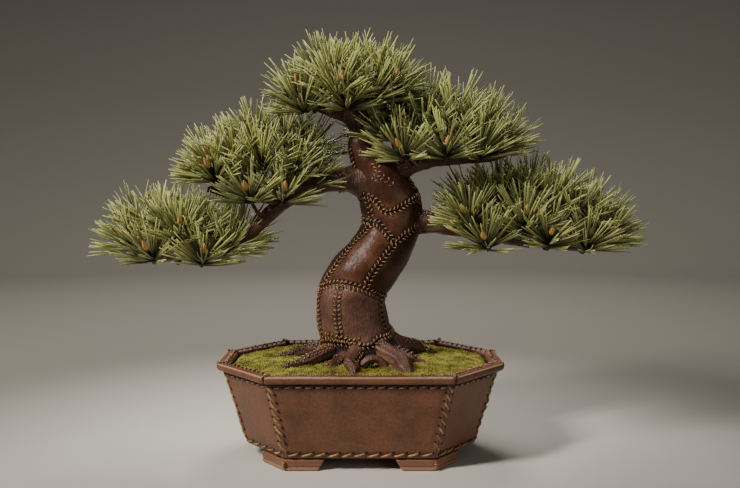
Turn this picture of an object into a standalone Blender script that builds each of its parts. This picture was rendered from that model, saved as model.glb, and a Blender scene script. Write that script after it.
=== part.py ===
"""Bonsai pine in an eight-sided pot, its trunk, roots, branches and pot made of hand-sewn leather.

Origin: the middle of the pot's base, on the surface it stands on. +Z up, +X to the right, -Y is the front.
"""

import math

import bmesh
import bpy
import numpy as np
from mathutils import Matrix

MM = 0.001
GAP = 0.3  # clearance between touching pieces, in mm like every size below

# Pot: outline of the rim, seen from above
RIM_HALF_WIDTH = 131.0
RIM_HALF_DEPTH = 88.0
RIM_FRONT_HALF = 81.7
RIM_SIDE_HALF = 30.0
RIM_TOP = 87.0
RIM_DEPTH = 8.0
RIM_BAND = 12.0

# Pot: body, base and feet; a scale is a share of the rim's outline
FOOT_HEIGHT = 10.0
FOOT_THICK = 10.0
FOOT_FRONT_LEG = 34.6
FOOT_SIDE_LEG = 0.6
FOOT_END_SLANT = 6.2
BASE_BOTTOM = FOOT_HEIGHT + GAP
BASE_TOP = 14.0
WALL_BOTTOM = FOOT_HEIGHT + GAP
WALL_TOP = RIM_TOP - RIM_DEPTH - GAP
WALL_THICK = 4.0
BASE_SCALE = 0.80
WALL_TOP_SCALE = 0.955
LACE_RADIUS = 1.0

# Filling
SOIL_TOP = WALL_TOP - 0.5
MOSS_BOTTOM = SOIL_TOP + GAP
MOSS_EDGE = 82.5
MOSS_CROWN = 90.0
MOSS_INSET = RIM_BAND + 2.0

# Trunk: leather sewn over a wooden core. Stations are x, y, z and the outer radius
TRUNK = [
    (3.0, 0.0, 50.0, 26.0),
    (2.5, 0.0, 72.0, 33.0),
    (1.0, 0.0, 90.0, 39.0),
    (-4.0, 0.0, 108.0, 34.0),
    (-8.0, -1.5, 128.0, 31.8),
    (-8.5, -3.0, 145.0, 31.6),
    (-1.0, -4.0, 161.0, 29.5),
    (12.0, -2.5, 177.0, 27.8),
    (22.5, 0.0, 193.0, 27.0),
    (28.5, 2.5, 212.0, 27.6),
    (27.0, 4.0, 230.0, 27.8),
    (19.0, 3.0, 249.0, 24.6),
    (9.5, 2.0, 264.5, 18.4),
    (0.5, 1.0, 279.0, 12.0),
    (-5.0, 0.0, 297.0, 7.0),
]
TRUNK_STEPS = 2
TRUNK_CHORD = 1.2  # half the length of axis, in stations, that sets the tilt of a ring
TRUNK_SEGMENTS = 20
LEATHER = 2.0
CORE_INSET = LEATHER + 1.2
SKIN_CLEARANCE = 1.0
SEAM_SHARE = 0.05  # half the gap along a seam, as a share of the step between stations

# Leather pieces of the trunk: first and last station, start and end angle in degrees.
# 270 degrees faces the front, 0 the right.
PATCHES = {
    "trunk_leather_lower_left": (2.3, 5.0, 188, 230),
    "trunk_leather_lower_front": (2.3, 5.0, 230, 326),
    "trunk_leather_lower_back": (2.3, 5.0, 326, 548),
    "trunk_leather_middle_front": (5.0, 9.6, 200, 288),
    "trunk_leather_middle_back": (5.0, 9.6, 288, 560),
    "trunk_leather_upper_front": (9.6, 13.2, 200, 340),
    "trunk_leather_upper_back": (9.6, 13.2, 340, 560),
}

# Roots: direction in degrees, length from the trunk's axis, radius at the trunk and at the tip
ROOTS = {
    "root_front": (271, 63, 8.5, 4.0),
    "root_right_front": (309, 72, 10.5, 4.5),
    "root_right_slim": (335, 60, 4.0, 2.6),
    "root_right_rear": (17, 70, 9.0, 3.6),
    "root_back_right": (65, 62, 8.5, 3.6),
    "root_back_left": (115, 60, 8.5, 3.4),
    "root_left_rear": (175, 77, 8.0, 3.0),
    "root_left_front": (216, 78, 8.0, 3.0),
    "root_front_stub": (240, 58, 6.5, 4.0),
}
ROOT_SHOULDER = 97.0
ROOT_REST = 87.5

# Branches: routes of x, y, z and radius
BRANCHES = {
    "branch_left": [
        [(4, 0, 250, 12), (-16, -3, 252, 11), (-39, -8, 246, 9), (-62, -12, 236, 7.5),
         (-81, -12, 222, 6.5), (-98, -10, 206, 6), (-121, -8, 194, 5.5), (-149, -8, 186, 5),
         (-174, -10, 181, 4), (-193, -12, 179, 3)],
        [(-46, -10, 244, 6), (-68, -12, 238, 5.5), (-92, -10, 236, 5), (-118, -8, 238, 4), (-140, -8, 243, 3)],
    ],
    "branch_right_lower": [
        [(38, 1, 212, 11.5), (58, -2, 212.5, 10.5), (74, -6, 211, 8.6), (92, -10, 207, 7.4),
         (118, -12, 201, 6.2), (145, -12, 196, 5.4), (173, -10, 192, 4.4), (204, -8, 189, 3)],
    ],
    "branch_right_upper": [
        [(20, 2, 250, 10), (37, -4, 260, 8.2), (55, -8, 267, 6.8), (82, -10, 270, 5.8),
         (110, -10, 271, 4.6), (132, -8, 274, 3)],
    ],
    "branch_crown": [
        [(-5, 0, 299.5, 6.8), (-11, -4, 307, 5.6), (-27, -9, 313, 4.6), (-45, -11, 319, 3.6), (-62, -12, 327, 3)],
        [(-5, 0, 299.5, 6.8), (-7, -4, 312, 5), (-10, -7, 326, 3.8), (-12, -8, 338, 3)],
        [(-5, 0, 299.5, 6.8), (4, -3, 312, 5), (17, -5, 325, 4), (32, -6, 335, 3)],
    ],
}

# Needle pads: the centre of each tuft (x, y, z) and its half width and half height
PADS = {
    "needles_crown": (
        30, 24,
        [(-68, -3, 340), (-40, -28, 347), (-38, 31, 350), (-6, -34, 352), (-10, 17, 364),
         (30, -25, 350), (26, 28, 354)],
    ),
    "needles_left_upper": (
        30, 26,
        [(-147, 0, 262), (-118, -28, 260), (-114, 31, 276), (-86, -34, 264), (-96, 17, 292),
         (-50, -22, 262), (-56, 36, 270)],
    ),
    "needles_left_lower": (
        28, 24,
        [(-228, -3, 194), (-198, -31, 204), (-196, 28, 216), (-164, -39, 206), (-160, 25, 208),
         (-124, -36, 204), (-114, 25, 206)],
    ),
    "needles_right_upper": (
        30, 24,
        [(28, -17, 290), (56, 34, 298), (62, -34, 298), (94, 0, 318), (98, -39, 292),
         (126, 28, 298), (132, -14, 288)],
    ),
    "needles_right_lower": (
        29, 25,
        [(98, -6, 228), (116, -39, 216), (122, 34, 238), (154, -11, 238), (160, -48, 214),
         (186, 28, 226), (204, -31, 212), (231, -3, 205)],
    ),
}
PAD_SUBDIVISIONS = 2

# Finishes: base colour, roughness
FINISHES = {
    "panel_leather": ((0.118, 0.052, 0.030), 0.45),
    "trunk_leather": ((0.098, 0.043, 0.026), 0.40),
    "lacing_thread": ((0.410, 0.225, 0.085), 0.60),
    "core_wood": ((0.200, 0.110, 0.055), 0.70),
    "potting_soil": ((0.040, 0.028, 0.018), 0.95),
    "moss": ((0.220, 0.165, 0.030), 0.95),
    "pine_needles": ((0.160, 0.165, 0.050), 0.60),
}


def clear_scene():
    """Remove every object, so that a second run starts clean."""
    for item in list(bpy.data.objects):
        bpy.data.objects.remove(item, do_unlink=True)


def new_collection(name):
    collection = bpy.data.collections.new(name)
    bpy.context.scene.collection.children.link(collection)
    return collection


def finish(name):
    """The material of one finish, made on first use."""
    material = bpy.data.materials.get(name)
    if material:
        return material
    colour, roughness = FINISHES[name]
    material = bpy.data.materials.new(name)
    material.use_nodes = True
    shader = material.node_tree.nodes["Principled BSDF"]
    shader.inputs["Base Color"].default_value = (*colour, 1.0)
    shader.inputs["Roughness"].default_value = roughness
    shader.inputs["Metallic"].default_value = 0.0
    return material


def add_part(name, mesh, material_name):
    """Put a mesh in the part's collection as the sub-part NAME."""
    mesh.name = name
    part = bpy.data.objects.new(name, mesh)
    PARTS.objects.link(part)
    mesh.materials.clear()
    mesh.materials.append(finish(material_name))
    return part


def add_cutter(name, mesh):
    """Put a mesh in the cutters' collection, hidden from renders."""
    cutter = bpy.data.objects.new(name, mesh)
    CUTTERS.objects.link(cutter)
    cutter.hide_render = True
    cutter.display_type = "WIRE"
    return cutter


def cut(part, cutter, operation="DIFFERENCE"):
    boolean = part.modifiers.new(cutter.name, "BOOLEAN")
    boolean.operation = operation
    boolean.object = cutter
    boolean.solver = "EXACT"


def bevel(part, width, segments=1):
    modifier = part.modifiers.new("Bevel", "BEVEL")
    modifier.width = width * MM
    modifier.segments = segments
    modifier.limit_method = "ANGLE"
    modifier.angle_limit = math.radians(40)


def face_outwards(work):
    """Make the faces of a closed bmesh agree, and turn them all round if they enclose less than nothing."""
    bmesh.ops.recalc_face_normals(work, faces=work.faces)
    if work.calc_volume(signed=True) < 0:
        bmesh.ops.reverse_faces(work, faces=work.faces)


def mesh_from(builder):
    """Run a bmesh builder and return the mesh, with its faces turned outwards."""
    work = bmesh.new()
    builder(work)
    face_outwards(work)
    mesh = bpy.data.meshes.new("mesh")
    work.to_mesh(mesh)
    work.free()
    return mesh


def smooth_route(stations, steps):
    """A Catmull-Rom curve through the stations: each span is read at STEPS points, whatever a station holds."""
    points = np.array(stations, float)
    padded = np.vstack([2 * points[0] - points[1], points, 2 * points[-1] - points[-2]])
    route = []
    for span in range(len(points) - 1):
        a, b, c, d = padded[span:span + 4]
        for step in range(steps):
            t = step / steps
            route.append(0.5 * (2 * b + (c - a) * t + (2 * a - 5 * b + 4 * c - d) * t**2
                                + (3 * b - a - 3 * c + d) * t**3))
    route.append(points[-1])
    return np.array(route)


# ---------------------------------------------------------------- the octagon of the pot


def octagon(scale=1.0):
    """The rim's eight corners times SCALE, anticlockwise from the front face's left end."""
    width = RIM_HALF_WIDTH * scale
    depth = RIM_HALF_DEPTH * scale
    front = RIM_FRONT_HALF * scale
    side = RIM_SIDE_HALF * scale
    quarter = [(front, -depth), (width, -side)]
    corners = [(-front, -depth), *quarter]
    corners += [(width, side), (front, depth), (-front, depth), (-width, side), (-width, -side)]
    return np.array(corners)


def inset(corners, distance):
    """Move every side of a convex outline inwards by DISTANCE and return the new corners."""
    before = corners - np.roll(corners, 1, axis=0)
    after = np.roll(corners, -1, axis=0) - corners
    before /= np.linalg.norm(before, axis=1)[:, None]
    after /= np.linalg.norm(after, axis=1)[:, None]
    inward = np.stack([-before[:, 1], before[:, 0]], axis=1) + np.stack([-after[:, 1], after[:, 0]], axis=1)
    share = 1 + (before * after).sum(axis=1)
    return corners + inward * distance / share[:, None]


def body_scale(height):
    """The scale of the pot's outer wall at a height: it widens evenly from the base to the rim."""
    return BASE_SCALE + (WALL_TOP_SCALE - BASE_SCALE) * (height - WALL_BOTTOM) / (WALL_TOP - WALL_BOTTOM)


def ring_points(corners, height):
    return [(x * MM, y * MM, height * MM) for x, y in corners]


def shape_prism(work, lower, upper):
    """A cylinder primitive whose two end rings are moved to the given points."""
    sides = len(lower)
    bmesh.ops.create_cone(work, cap_ends=True, segments=sides, radius1=1, radius2=1, depth=2)
    around = sorted(work.verts, key=lambda v: (v.co.z, (math.atan2(v.co.y, v.co.x) + 0.01) % math.tau))
    for vert, place in zip(around, [*lower, *upper]):
        vert.co = place


def mitred_length(side, profile):
    """One straight length of the pot: PROFILE is a list of (outline scale, inset, height), cut at both mitres."""
    ends = []
    for corner, towards in ((side, side + 1), (side + 1, side)):
        ring = []
        for scale, depth, height in profile:
            corners = inset(octagon(scale), depth)
            start = corners[corner % 8]
            along = corners[towards % 8] - start
            start = start + along / np.linalg.norm(along) * GAP * 0.6
            ring.append((start[0] * MM, start[1] * MM, height * MM))
        ends.append(ring)
    return mesh_from(lambda work: shape_prism(work, *ends))


SIDES = ["front", "front_right", "right", "back_right", "back", "back_left", "left", "front_left"]


def make_pot_walls():
    """Eight stiff leather panels round the base board, edge to edge at the corners."""
    for index, side in enumerate(SIDES):
        profile = [
            (BASE_SCALE, 0, WALL_BOTTOM),
            (WALL_TOP_SCALE, 0, WALL_TOP),
            (WALL_TOP_SCALE, WALL_THICK, WALL_TOP),
            (BASE_SCALE, WALL_THICK, WALL_BOTTOM),
        ]
        panel = add_part("pot_panel_" + side, mitred_length(index, profile), "panel_leather")
        bevel(panel, 0.6)


def make_rim():
    """A padded rim in eight mitred lengths, rounded over its outer edge."""
    middle = RIM_TOP - RIM_DEPTH / 2
    round_edge = [(RIM_DEPTH / 2 - RIM_DEPTH / 2 * math.sin(angle), middle - RIM_DEPTH / 2 * math.cos(angle))
                  for angle in np.linspace(0.12 * math.pi, 0.88 * math.pi, 6)]
    outline = [*round_edge, (RIM_BAND - 1.5, RIM_TOP - 0.4), (RIM_BAND, RIM_TOP - 2.2), (RIM_BAND, RIM_TOP - RIM_DEPTH)]
    profile = [(1.0, depth, height) for depth, height in outline]
    for index, side in enumerate(SIDES):
        add_part("rim_" + side, mitred_length(index, profile), "panel_leather")


def make_base_and_feet():
    """The base board, let in between the walls, and a bracket foot under each of the four long corners."""
    corners = octagon(BASE_SCALE)
    board = inset(corners, WALL_THICK + GAP * 1.5)
    lower = ring_points(board, BASE_BOTTOM)
    upper = ring_points(board, BASE_TOP)
    add_part("base_board", mesh_from(lambda work: shape_prism(work, lower, upper)), "panel_leather")

    inner = inset(corners, FOOT_THICK)
    for name, corner, along_front, along_side in (
        ("foot_front_left", 0, 1, 7),
        ("foot_front_right", 1, 0, 2),
        ("foot_back_right", 4, 5, 3),
        ("foot_back_left", 5, 4, 6),
    ):
        front = corners[along_front] - corners[corner]
        front /= np.linalg.norm(front)
        side = corners[along_side] - corners[corner]
        side_reach = side * FOOT_SIDE_LEG
        side_unit = side / np.linalg.norm(side)
        depth = inner[corner] - corners[corner]
        front_in = np.array([0.0, depth[1]])
        side_in = depth - side_unit * (depth @ side_unit)
        rings = []
        for height, slant in ((0.0, FOOT_END_SLANT), (FOOT_HEIGHT, 0.0)):
            toe = corners[corner] + front * (FOOT_FRONT_LEG - slant)
            heel = corners[corner] + side_reach - side_unit * slant * 0.5
            outline = [corners[corner], heel, heel + side_in, inner[corner], toe + front_in, toe]
            if corner in (0, 4):
                outline = [outline[0], *reversed(outline[1:])]
            rings.append(ring_points(outline, height))
        foot = mesh_from(lambda work, ends=rings: shape_prism(work, *ends))
        bevel(add_part(name, foot, "panel_leather"), 0.8)


# ---------------------------------------------------------------- tubes and laces


def tube_curve(name, route, closed=False, resolution=2):
    """A round wire along ROUTE, whose points are x, y, z and radius."""
    curve = bpy.data.curves.new(name, "CURVE")
    curve.dimensions = "3D"
    curve.bevel_depth = MM
    curve.bevel_resolution = resolution
    curve.use_fill_caps = True
    curve.twist_mode = "Z_UP" if closed else "MINIMUM"
    spline = curve.splines.new("POLY")
    spline.points.add(len(route) - 1)
    for point, (x, y, z, radius) in zip(spline.points, route):
        point.co = (x * MM, y * MM, z * MM, 1.0)
        point.radius = radius
    spline.use_cyclic_u = closed
    return bpy.data.objects.new(name, curve)


def tube_mesh(name, route, closed=False, resolution=2):
    """The same wire as a closed mesh, its end caps welded on."""
    wire = tube_curve(name, route, closed, resolution)
    bpy.context.scene.collection.objects.link(wire)
    evaluated = wire.evaluated_get(bpy.context.evaluated_depsgraph_get())
    mesh = bpy.data.meshes.new_from_object(evaluated)
    bpy.data.objects.remove(wire, do_unlink=True)
    work = bmesh.new()
    work.from_mesh(mesh)
    bmesh.ops.remove_doubles(work, verts=work.verts, dist=1e-6)
    face_outwards(work)
    work.to_mesh(mesh)
    work.free()
    return mesh


def clearance_mesh(name, route):
    """A wire wider than ROUTE by the clearance, and longer by twice that at both ends."""
    wider = np.array(route)
    wider[:, 3] += GAP * 1.5
    for end, neighbour in ((0, 1), (-1, -2)):
        away = wider[end, :3] - wider[neighbour, :3]
        wider[end, :3] += away / np.linalg.norm(away) * GAP * 3
    return tube_mesh(name, wider)


def make_laces():
    """The thick thread that sews the pot together: down each corner, under the rim and along the base."""
    stand_off = -(LACE_RADIUS + GAP)
    low = WALL_BOTTOM + 7.0
    high = WALL_TOP - 6.0
    for index in range(8):
        route = []
        for height in (low, high):
            x, y = inset(octagon(body_scale(height)), stand_off * 1.1)[index]
            route.append((x, y, height, LACE_RADIUS))
        name = f"corner_lace_{SIDES[index - 1]}_to_{SIDES[index]}"
        add_part(name, tube_mesh(name, route), "lacing_thread")
    for name, height in (("rim_lace", WALL_TOP - 2.4), ("base_lace", WALL_BOTTOM + 4.2)):
        corners = inset(octagon(body_scale(height)), stand_off * 1.2)
        route = [(x, y, height, LACE_RADIUS) for x, y in corners]
        add_part(name, tube_mesh(name, route, closed=True), "lacing_thread")


# ---------------------------------------------------------------- trunk


def trunk_surface(span, angles, inwards):
    """Points of the trunk's skin moved INWARDS: rings at the places SPAN (in stations), at ANGLES in radians.

    Each ring lies across a chord of the trunk's axis; angle 0 points right and a quarter turn points back.
    """
    fine = smooth_route(TRUNK, 24)
    place = np.linspace(0, len(TRUNK) - 1, len(fine))

    def axis_at(stations):
        return np.stack([np.interp(stations, place, fine[:, axis]) for axis in range(3)], axis=1)

    centre = axis_at(span)
    radius = np.interp(span, place, fine[:, 3]) - inwards
    tangent = axis_at(span + TRUNK_CHORD) - axis_at(span - TRUNK_CHORD)
    tangent /= np.linalg.norm(tangent, axis=1)[:, None]
    right = np.cross([0.0, 1.0, 0.0], tangent)
    right /= np.linalg.norm(right, axis=1)[:, None]
    back = np.cross(tangent, right)
    ring = np.cos(angles)[None, :, None] * right[:, None] + np.sin(angles)[None, :, None] * back[:, None]
    return (centre[:, None] + ring * radius[:, None, None]) * MM


def quads_between(work, first, second):
    """Join two rows of vertices with quads."""
    for column in range(len(first) - 1):
        work.faces.new((first[column], first[column + 1], second[column + 1], second[column]))


def closed_loft(points):
    """Skin a stack of rings with quads and cap both ends."""

    def build(work):
        rings = [[work.verts.new(point) for point in ring] for ring in points]
        for lower, upper in zip(rings, rings[1:]):
            quads_between(work, [*lower, lower[0]], [*upper, upper[0]])
        work.faces.new(rings[0])
        work.faces.new(rings[-1])

    return mesh_from(build)


def leather_shell(outer, inner):
    """A piece of sheet between two grids of points, with a wall along each of its four edges."""

    def build(work):
        sheets = [[[work.verts.new(point) for point in row] for row in grid] for grid in (outer, inner)]
        for sheet in sheets:
            for lower, upper in zip(sheet, sheet[1:]):
                quads_between(work, lower, upper)
        face, back = sheets
        quads_between(work, face[0], back[0])
        quads_between(work, face[-1], back[-1])
        for end in (0, -1):
            quads_between(work, [row[end] for row in face], [row[end] for row in back])

    return mesh_from(build)


def trunk_loft(first, last, inwards):
    """A closed length of trunk between two stations."""
    span = np.linspace(first, last, round((last - first) * TRUNK_STEPS) + 1)
    angles = np.linspace(0, math.tau, TRUNK_SEGMENTS, endpoint=False)
    return closed_loft(trunk_surface(span, angles, inwards))


def make_trunk():
    """The wooden core, and the leather pieces sewn round it."""
    top = len(TRUNK) - 1
    add_part("trunk_core", trunk_loft(0.2, top, CORE_INSET), "core_wood")
    pitch = math.tau / TRUNK_SEGMENTS
    for name, (first, last, start, end) in PATCHES.items():
        seam = math.radians(0.7)
        angles_wide = (math.radians(start) + seam, math.radians(end) - seam)
        columns = math.ceil((angles_wide[1] - angles_wide[0]) / pitch) + 1
        rows = math.ceil((last - first) * TRUNK_STEPS) + 1
        span = np.linspace(first + SEAM_SHARE, last - SEAM_SHARE, rows)
        angles = np.linspace(*angles_wide, columns)
        outer = trunk_surface(span, angles, 0)
        inner = trunk_surface(span, angles, LEATHER)
        add_part(name, leather_shell(outer, inner), "trunk_leather")


def make_roots_and_branches():
    """Leather sleeves: roots running into the moss, and branches sewn to the trunk's skin."""
    skin = add_cutter("trunk_clearance", trunk_loft(0, len(TRUNK) - 1, -SKIN_CLEARANCE))
    centre_x, centre_y = TRUNK[2][:2]
    roots = []
    for name, (direction, reach, thick, thin) in ROOTS.items():
        angle = math.radians(direction)
        start = TRUNK[2][3] - 14.0
        stations = [(start, ROOT_SHOULDER, thick), (start + 12, ROOT_SHOULDER - 1.5, thick)]
        stations += [(start + 0.45 * (reach - start), ROOT_REST + 2.0, 0.5 * (thick + thin)), (reach, ROOT_REST, thin)]
        route = smooth_route(
            [(centre_x + away * math.cos(angle), centre_y + away * math.sin(angle), height, radius)
             for away, height, radius in stations], 3)
        root = add_part(name, tube_mesh(name, route), "trunk_leather")
        cut(root, skin)
        roots.append(add_cutter(name + "_clearance", clearance_mesh(name, route)))

    clearances = {}
    for name, routes in BRANCHES.items():
        pieces = [smooth_route(route, 2) for route in routes]
        branch = add_part(name, tube_mesh(name, pieces[0]), "trunk_leather")
        clearances[name] = []
        for number, route in enumerate(pieces):
            if number:
                cut(branch, add_cutter(f"{name}_fork_{number}", tube_mesh(name, route)), "UNION")
            clearances[name].append(add_cutter(f"{name}_clearance_{number}", clearance_mesh(name, route)))
        cut(branch, skin)
    return skin, roots, clearances


# ---------------------------------------------------------------- soil, moss and needles


def make_filling(skin, roots):
    """Packed soil up to the rim's underside, and a low mound of moss round the trunk and roots."""
    depth = WALL_THICK + GAP * 1.5
    lower = ring_points(inset(octagon(body_scale(BASE_TOP)), depth), BASE_TOP + GAP)
    upper = ring_points(inset(octagon(body_scale(SOIL_TOP)), depth), SOIL_TOP)
    soil = add_part("soil", mesh_from(lambda work: shape_prism(work, lower, upper)), "potting_soil")
    cut(soil, add_cutter("core_clearance", trunk_loft(0, 4, CORE_INSET - GAP * 1.5)))

    edge = inset(octagon(), MOSS_INSET)
    low_ring = ring_points(edge, MOSS_BOTTOM)
    edge_ring = ring_points(edge, MOSS_EDGE)

    def mound(work):
        shape_prism(work, low_ring, edge_ring)
        top = [face for face in work.faces if all(v.co.z > (MOSS_EDGE - 1) * MM for v in face.verts)]
        middle = bmesh.ops.poke(work, faces=top)["verts"][0]
        middle.co.z = MOSS_CROWN * MM
        bmesh.ops.subdivide_edges(work, edges=list(middle.link_edges), cuts=1)
        for vert in work.verts:
            if vert is not middle and vert.co.z > (MOSS_EDGE + 1) * MM:
                vert.co.z = (MOSS_EDGE + 0.8 * (MOSS_CROWN - MOSS_EDGE)) * MM
        bmesh.ops.triangulate(work, faces=[face for face in work.faces if len(face.verts) == 4 and
                                           all(v.co.z > MOSS_EDGE * MM * 0.99 for v in face.verts)])

    moss = add_part("moss", mesh_from(mound), "moss")
    cut(moss, skin)
    for root in roots:
        cut(moss, root)


def make_needles(skin, clearances):
    """Five pads of pine needles. Each is the closed outer shape of its tufts, hollowed where a branch runs in."""
    for name, (half_width, half_height, tufts) in PADS.items():
        pad = None
        for number, (x, y, z) in enumerate(tufts):
            shape = Matrix.Translation((x * MM, y * MM, z * MM))
            size = Matrix.Diagonal((half_width * MM, half_width * MM, half_height * MM, 1))
            turn = Matrix.Rotation(number * 0.7, 4, "Z")
            tuft = mesh_from(lambda work, place=shape @ size @ turn: bmesh.ops.create_icosphere(
                work, subdivisions=PAD_SUBDIVISIONS, radius=1, matrix=place))
            if pad is None:
                pad = add_part(name, tuft, "pine_needles")
            else:
                cut(pad, add_cutter(f"{name}_tuft_{number}", tuft), "UNION")
        for pieces in clearances.values():
            for piece in pieces:
                cut(pad, piece)
        cut(pad, skin)


clear_scene()
PARTS = new_collection("bonsai_tree_in_pot")
CUTTERS = new_collection("cutters")
make_pot_walls()
make_rim()
make_base_and_feet()
make_laces()
make_trunk()
trunk_skin, root_cutters, branch_cutters = make_roots_and_branches()
make_filling(trunk_skin, root_cutters)
make_needles(trunk_skin, branch_cutters)
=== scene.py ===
"""A bonsai pine of hand-sewn leather in an eight-sided, laced leather pot. Lengths are in millimetres."""
import math

import bpy
import numpy as np
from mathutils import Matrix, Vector


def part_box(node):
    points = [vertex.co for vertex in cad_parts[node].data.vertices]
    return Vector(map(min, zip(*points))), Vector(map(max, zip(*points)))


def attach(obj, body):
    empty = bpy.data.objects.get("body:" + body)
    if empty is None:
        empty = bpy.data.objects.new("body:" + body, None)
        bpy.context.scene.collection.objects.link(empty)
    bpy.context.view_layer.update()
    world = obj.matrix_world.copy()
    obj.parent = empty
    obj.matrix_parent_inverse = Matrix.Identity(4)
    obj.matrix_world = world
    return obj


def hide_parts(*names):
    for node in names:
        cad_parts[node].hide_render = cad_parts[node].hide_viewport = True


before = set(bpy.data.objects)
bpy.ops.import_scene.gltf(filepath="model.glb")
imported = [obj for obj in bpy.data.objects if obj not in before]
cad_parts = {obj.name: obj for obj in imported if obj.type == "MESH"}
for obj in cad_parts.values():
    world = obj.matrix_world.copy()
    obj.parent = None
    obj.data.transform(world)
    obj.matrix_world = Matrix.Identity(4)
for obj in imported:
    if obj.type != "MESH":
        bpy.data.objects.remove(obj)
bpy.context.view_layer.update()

MM = 0.001

# ---------------------------------------------------------------- the studio
# A pale matt floor sweeps up all round into a wall, which painted shade greys: the paper's colour is painted
# darker far off and high up. A small soft lamp at the upper left is the main light; wide, weak ones stand on
# the right and above, and a fourth lights the wall. The camera looks from the front, tilted down a little.


def linear(hex_colour):
    """The linear RGBA of an sRGB hex colour such as 7a4b33."""
    parts = np.array([int(hex_colour[i:i + 2], 16) for i in (0, 2, 4)]) / 255
    return (*np.where(parts <= 0.04045, parts / 12.92, ((parts + 0.055) / 1.055) ** 2.4), 1.0)


def add(tree, kind, inputs=(), stops=(), **settings):
    """Add one node, set its properties, and fill or link its inputs; returns the node. STOPS are the
    (position, sRGB hex) pairs of a colour ramp, from the lowest up."""
    item = tree.nodes.new(kind)
    for key, value in settings.items():
        setattr(item, key, value)
    for key, value in dict(inputs).items():
        if isinstance(value, bpy.types.NodeSocket):
            tree.links.new(value, item.inputs[key])
        else:
            item.inputs[key].default_value = value
    if stops:
        elements = item.color_ramp.elements
        elements.remove(elements[-1])
        elements[0].position = stops[0][0]
        elements[0].color = linear(stops[0][1])
        for position, colour in stops[1:]:
            elements.new(position).color = linear(colour)
    return item


def new_material(name, **shader_values):
    """A Principled material; SHADER_VALUES are its sockets' values, with _ for a space. Returns the material,
    its tree and its shader."""
    material = bpy.data.materials.new(name)
    material.use_nodes = True
    tree = material.node_tree
    shader = tree.nodes["Principled BSDF"]
    for key, value in shader_values.items():
        shader.inputs[key.replace("_", " ")].default_value = value
    return material, tree, shader


def grid_quads(rows, columns, wrap=False):
    """The quads of a rows x columns grid of points; each faces (step between rows) x (step in a row)."""
    row = np.arange(rows - 1)[:, None] * columns
    column = np.arange(columns if wrap else columns - 1)[None, :]
    after = (column + 1) % columns
    corners = (row + column, row + columns + column, row + columns + after, row + after)
    return np.stack(np.broadcast_arrays(*corners), axis=-1).reshape(-1, 4)


def put_mesh(name, points, quads, triangles, material, facets=False, **marks):
    """An object from arrays of points in mm and of faces; MARKS, one value per point, are kept with it."""
    mesh = bpy.data.meshes.new(name)
    points = np.asarray(points, np.float32).reshape(-1, 3) * MM
    quads = np.asarray(quads, np.int32).reshape(-1, 4)
    triangles = np.asarray(triangles, np.int32).reshape(-1, 3)
    mesh.vertices.add(len(points))
    mesh.vertices.foreach_set("co", points.ravel())
    mesh.loops.add(quads.size + triangles.size)
    mesh.loops.foreach_set("vertex_index", np.concatenate([quads.ravel(), triangles.ravel()]))
    mesh.polygons.add(len(quads) + len(triangles))
    starts = np.concatenate([np.arange(len(quads)) * 4, quads.size + np.arange(len(triangles)) * 3])
    mesh.polygons.foreach_set("loop_start", starts.astype(np.int32))
    mesh.update(calc_edges=True)
    if not facets:
        mesh.shade_smooth()
    for key, values in marks.items():
        layer = mesh.attributes.new(key, "FLOAT", "POINT")
        layer.data.foreach_set("value", np.asarray(values, np.float32).ravel())
    mesh.materials.append(material)
    item = bpy.data.objects.new(name, mesh)
    bpy.context.scene.collection.objects.link(item)
    return item


def unit(vectors):
    """Each vector scaled to a length of 1."""
    return vectors / np.maximum(np.linalg.norm(vectors, axis=-1, keepdims=True), 1e-9)


SWEEP_FLAT = 1700.0
SWEEP_WALL = 2300.0
SWEEP_RISE = 2400.0
SWEEP_SIDES = 96

around = np.linspace(0, math.tau, SWEEP_SIDES, endpoint=False)
bend = np.linspace(0, math.pi / 2, 14)
sweep_curve = SWEEP_WALL - SWEEP_FLAT
sweep_radius = np.concatenate([[0.5, 900.0], SWEEP_FLAT + sweep_curve * np.sin(bend), [SWEEP_WALL]])
sweep_height = np.concatenate([[0.0, 0.0], sweep_curve * (1 - np.cos(bend)), [SWEEP_RISE]])
ring = np.stack([np.cos(around), np.sin(around)], axis=-1)
sweep_up = np.broadcast_to(sweep_height[:, None, None], (len(sweep_height), SWEEP_SIDES, 1))
sweep_points = np.concatenate([sweep_radius[:, None, None] * ring, sweep_up], axis=-1)

# uncoated paper has no shine, so only its tone and the soft shadows show; its colour is painted darker far off
# and high up, a painted shade for the light falling off there
backdrop_paint, tree, shader = new_material("matt_studio_paper", Roughness=0.95)
spot = add(tree, "ShaderNodeSeparateXYZ", {0: add(tree, "ShaderNodeTexCoord").outputs["Object"]})
flat = add(tree, "ShaderNodeCombineXYZ", {"X": spot.outputs["X"], "Y": spot.outputs["Y"]})
away = add(tree, "ShaderNodeVectorMath", {0: flat.outputs["Vector"]}, operation="LENGTH")
near = add(tree, "ShaderNodeMapRange", {"Value": away.outputs["Value"], "From Min": 0.05, "From Max": 0.55},
           interpolation_type="SMOOTHSTEP")
rise = add(tree, "ShaderNodeMapRange", {"Value": spot.outputs["Z"], "From Min": 0.0, "From Max": 0.95})
floor_with_painted_falloff = add(tree, "ShaderNodeMix",
                 {"Factor": near.outputs["Result"], 6: linear("d0cbc0"), 7: linear("726d65")},
                 data_type="RGBA")
paper = add(tree, "ShaderNodeMix",
            {"Factor": rise.outputs["Result"], 6: floor_with_painted_falloff.outputs[2], 7: linear("524e48")},
            data_type="RGBA")
tree.links.new(paper.outputs[2], shader.inputs["Base Color"])
sweep_quads = grid_quads(len(sweep_height), SWEEP_SIDES, wrap=True)
put_mesh("studio_sweep", sweep_points, sweep_quads, [], backdrop_paint)

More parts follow.
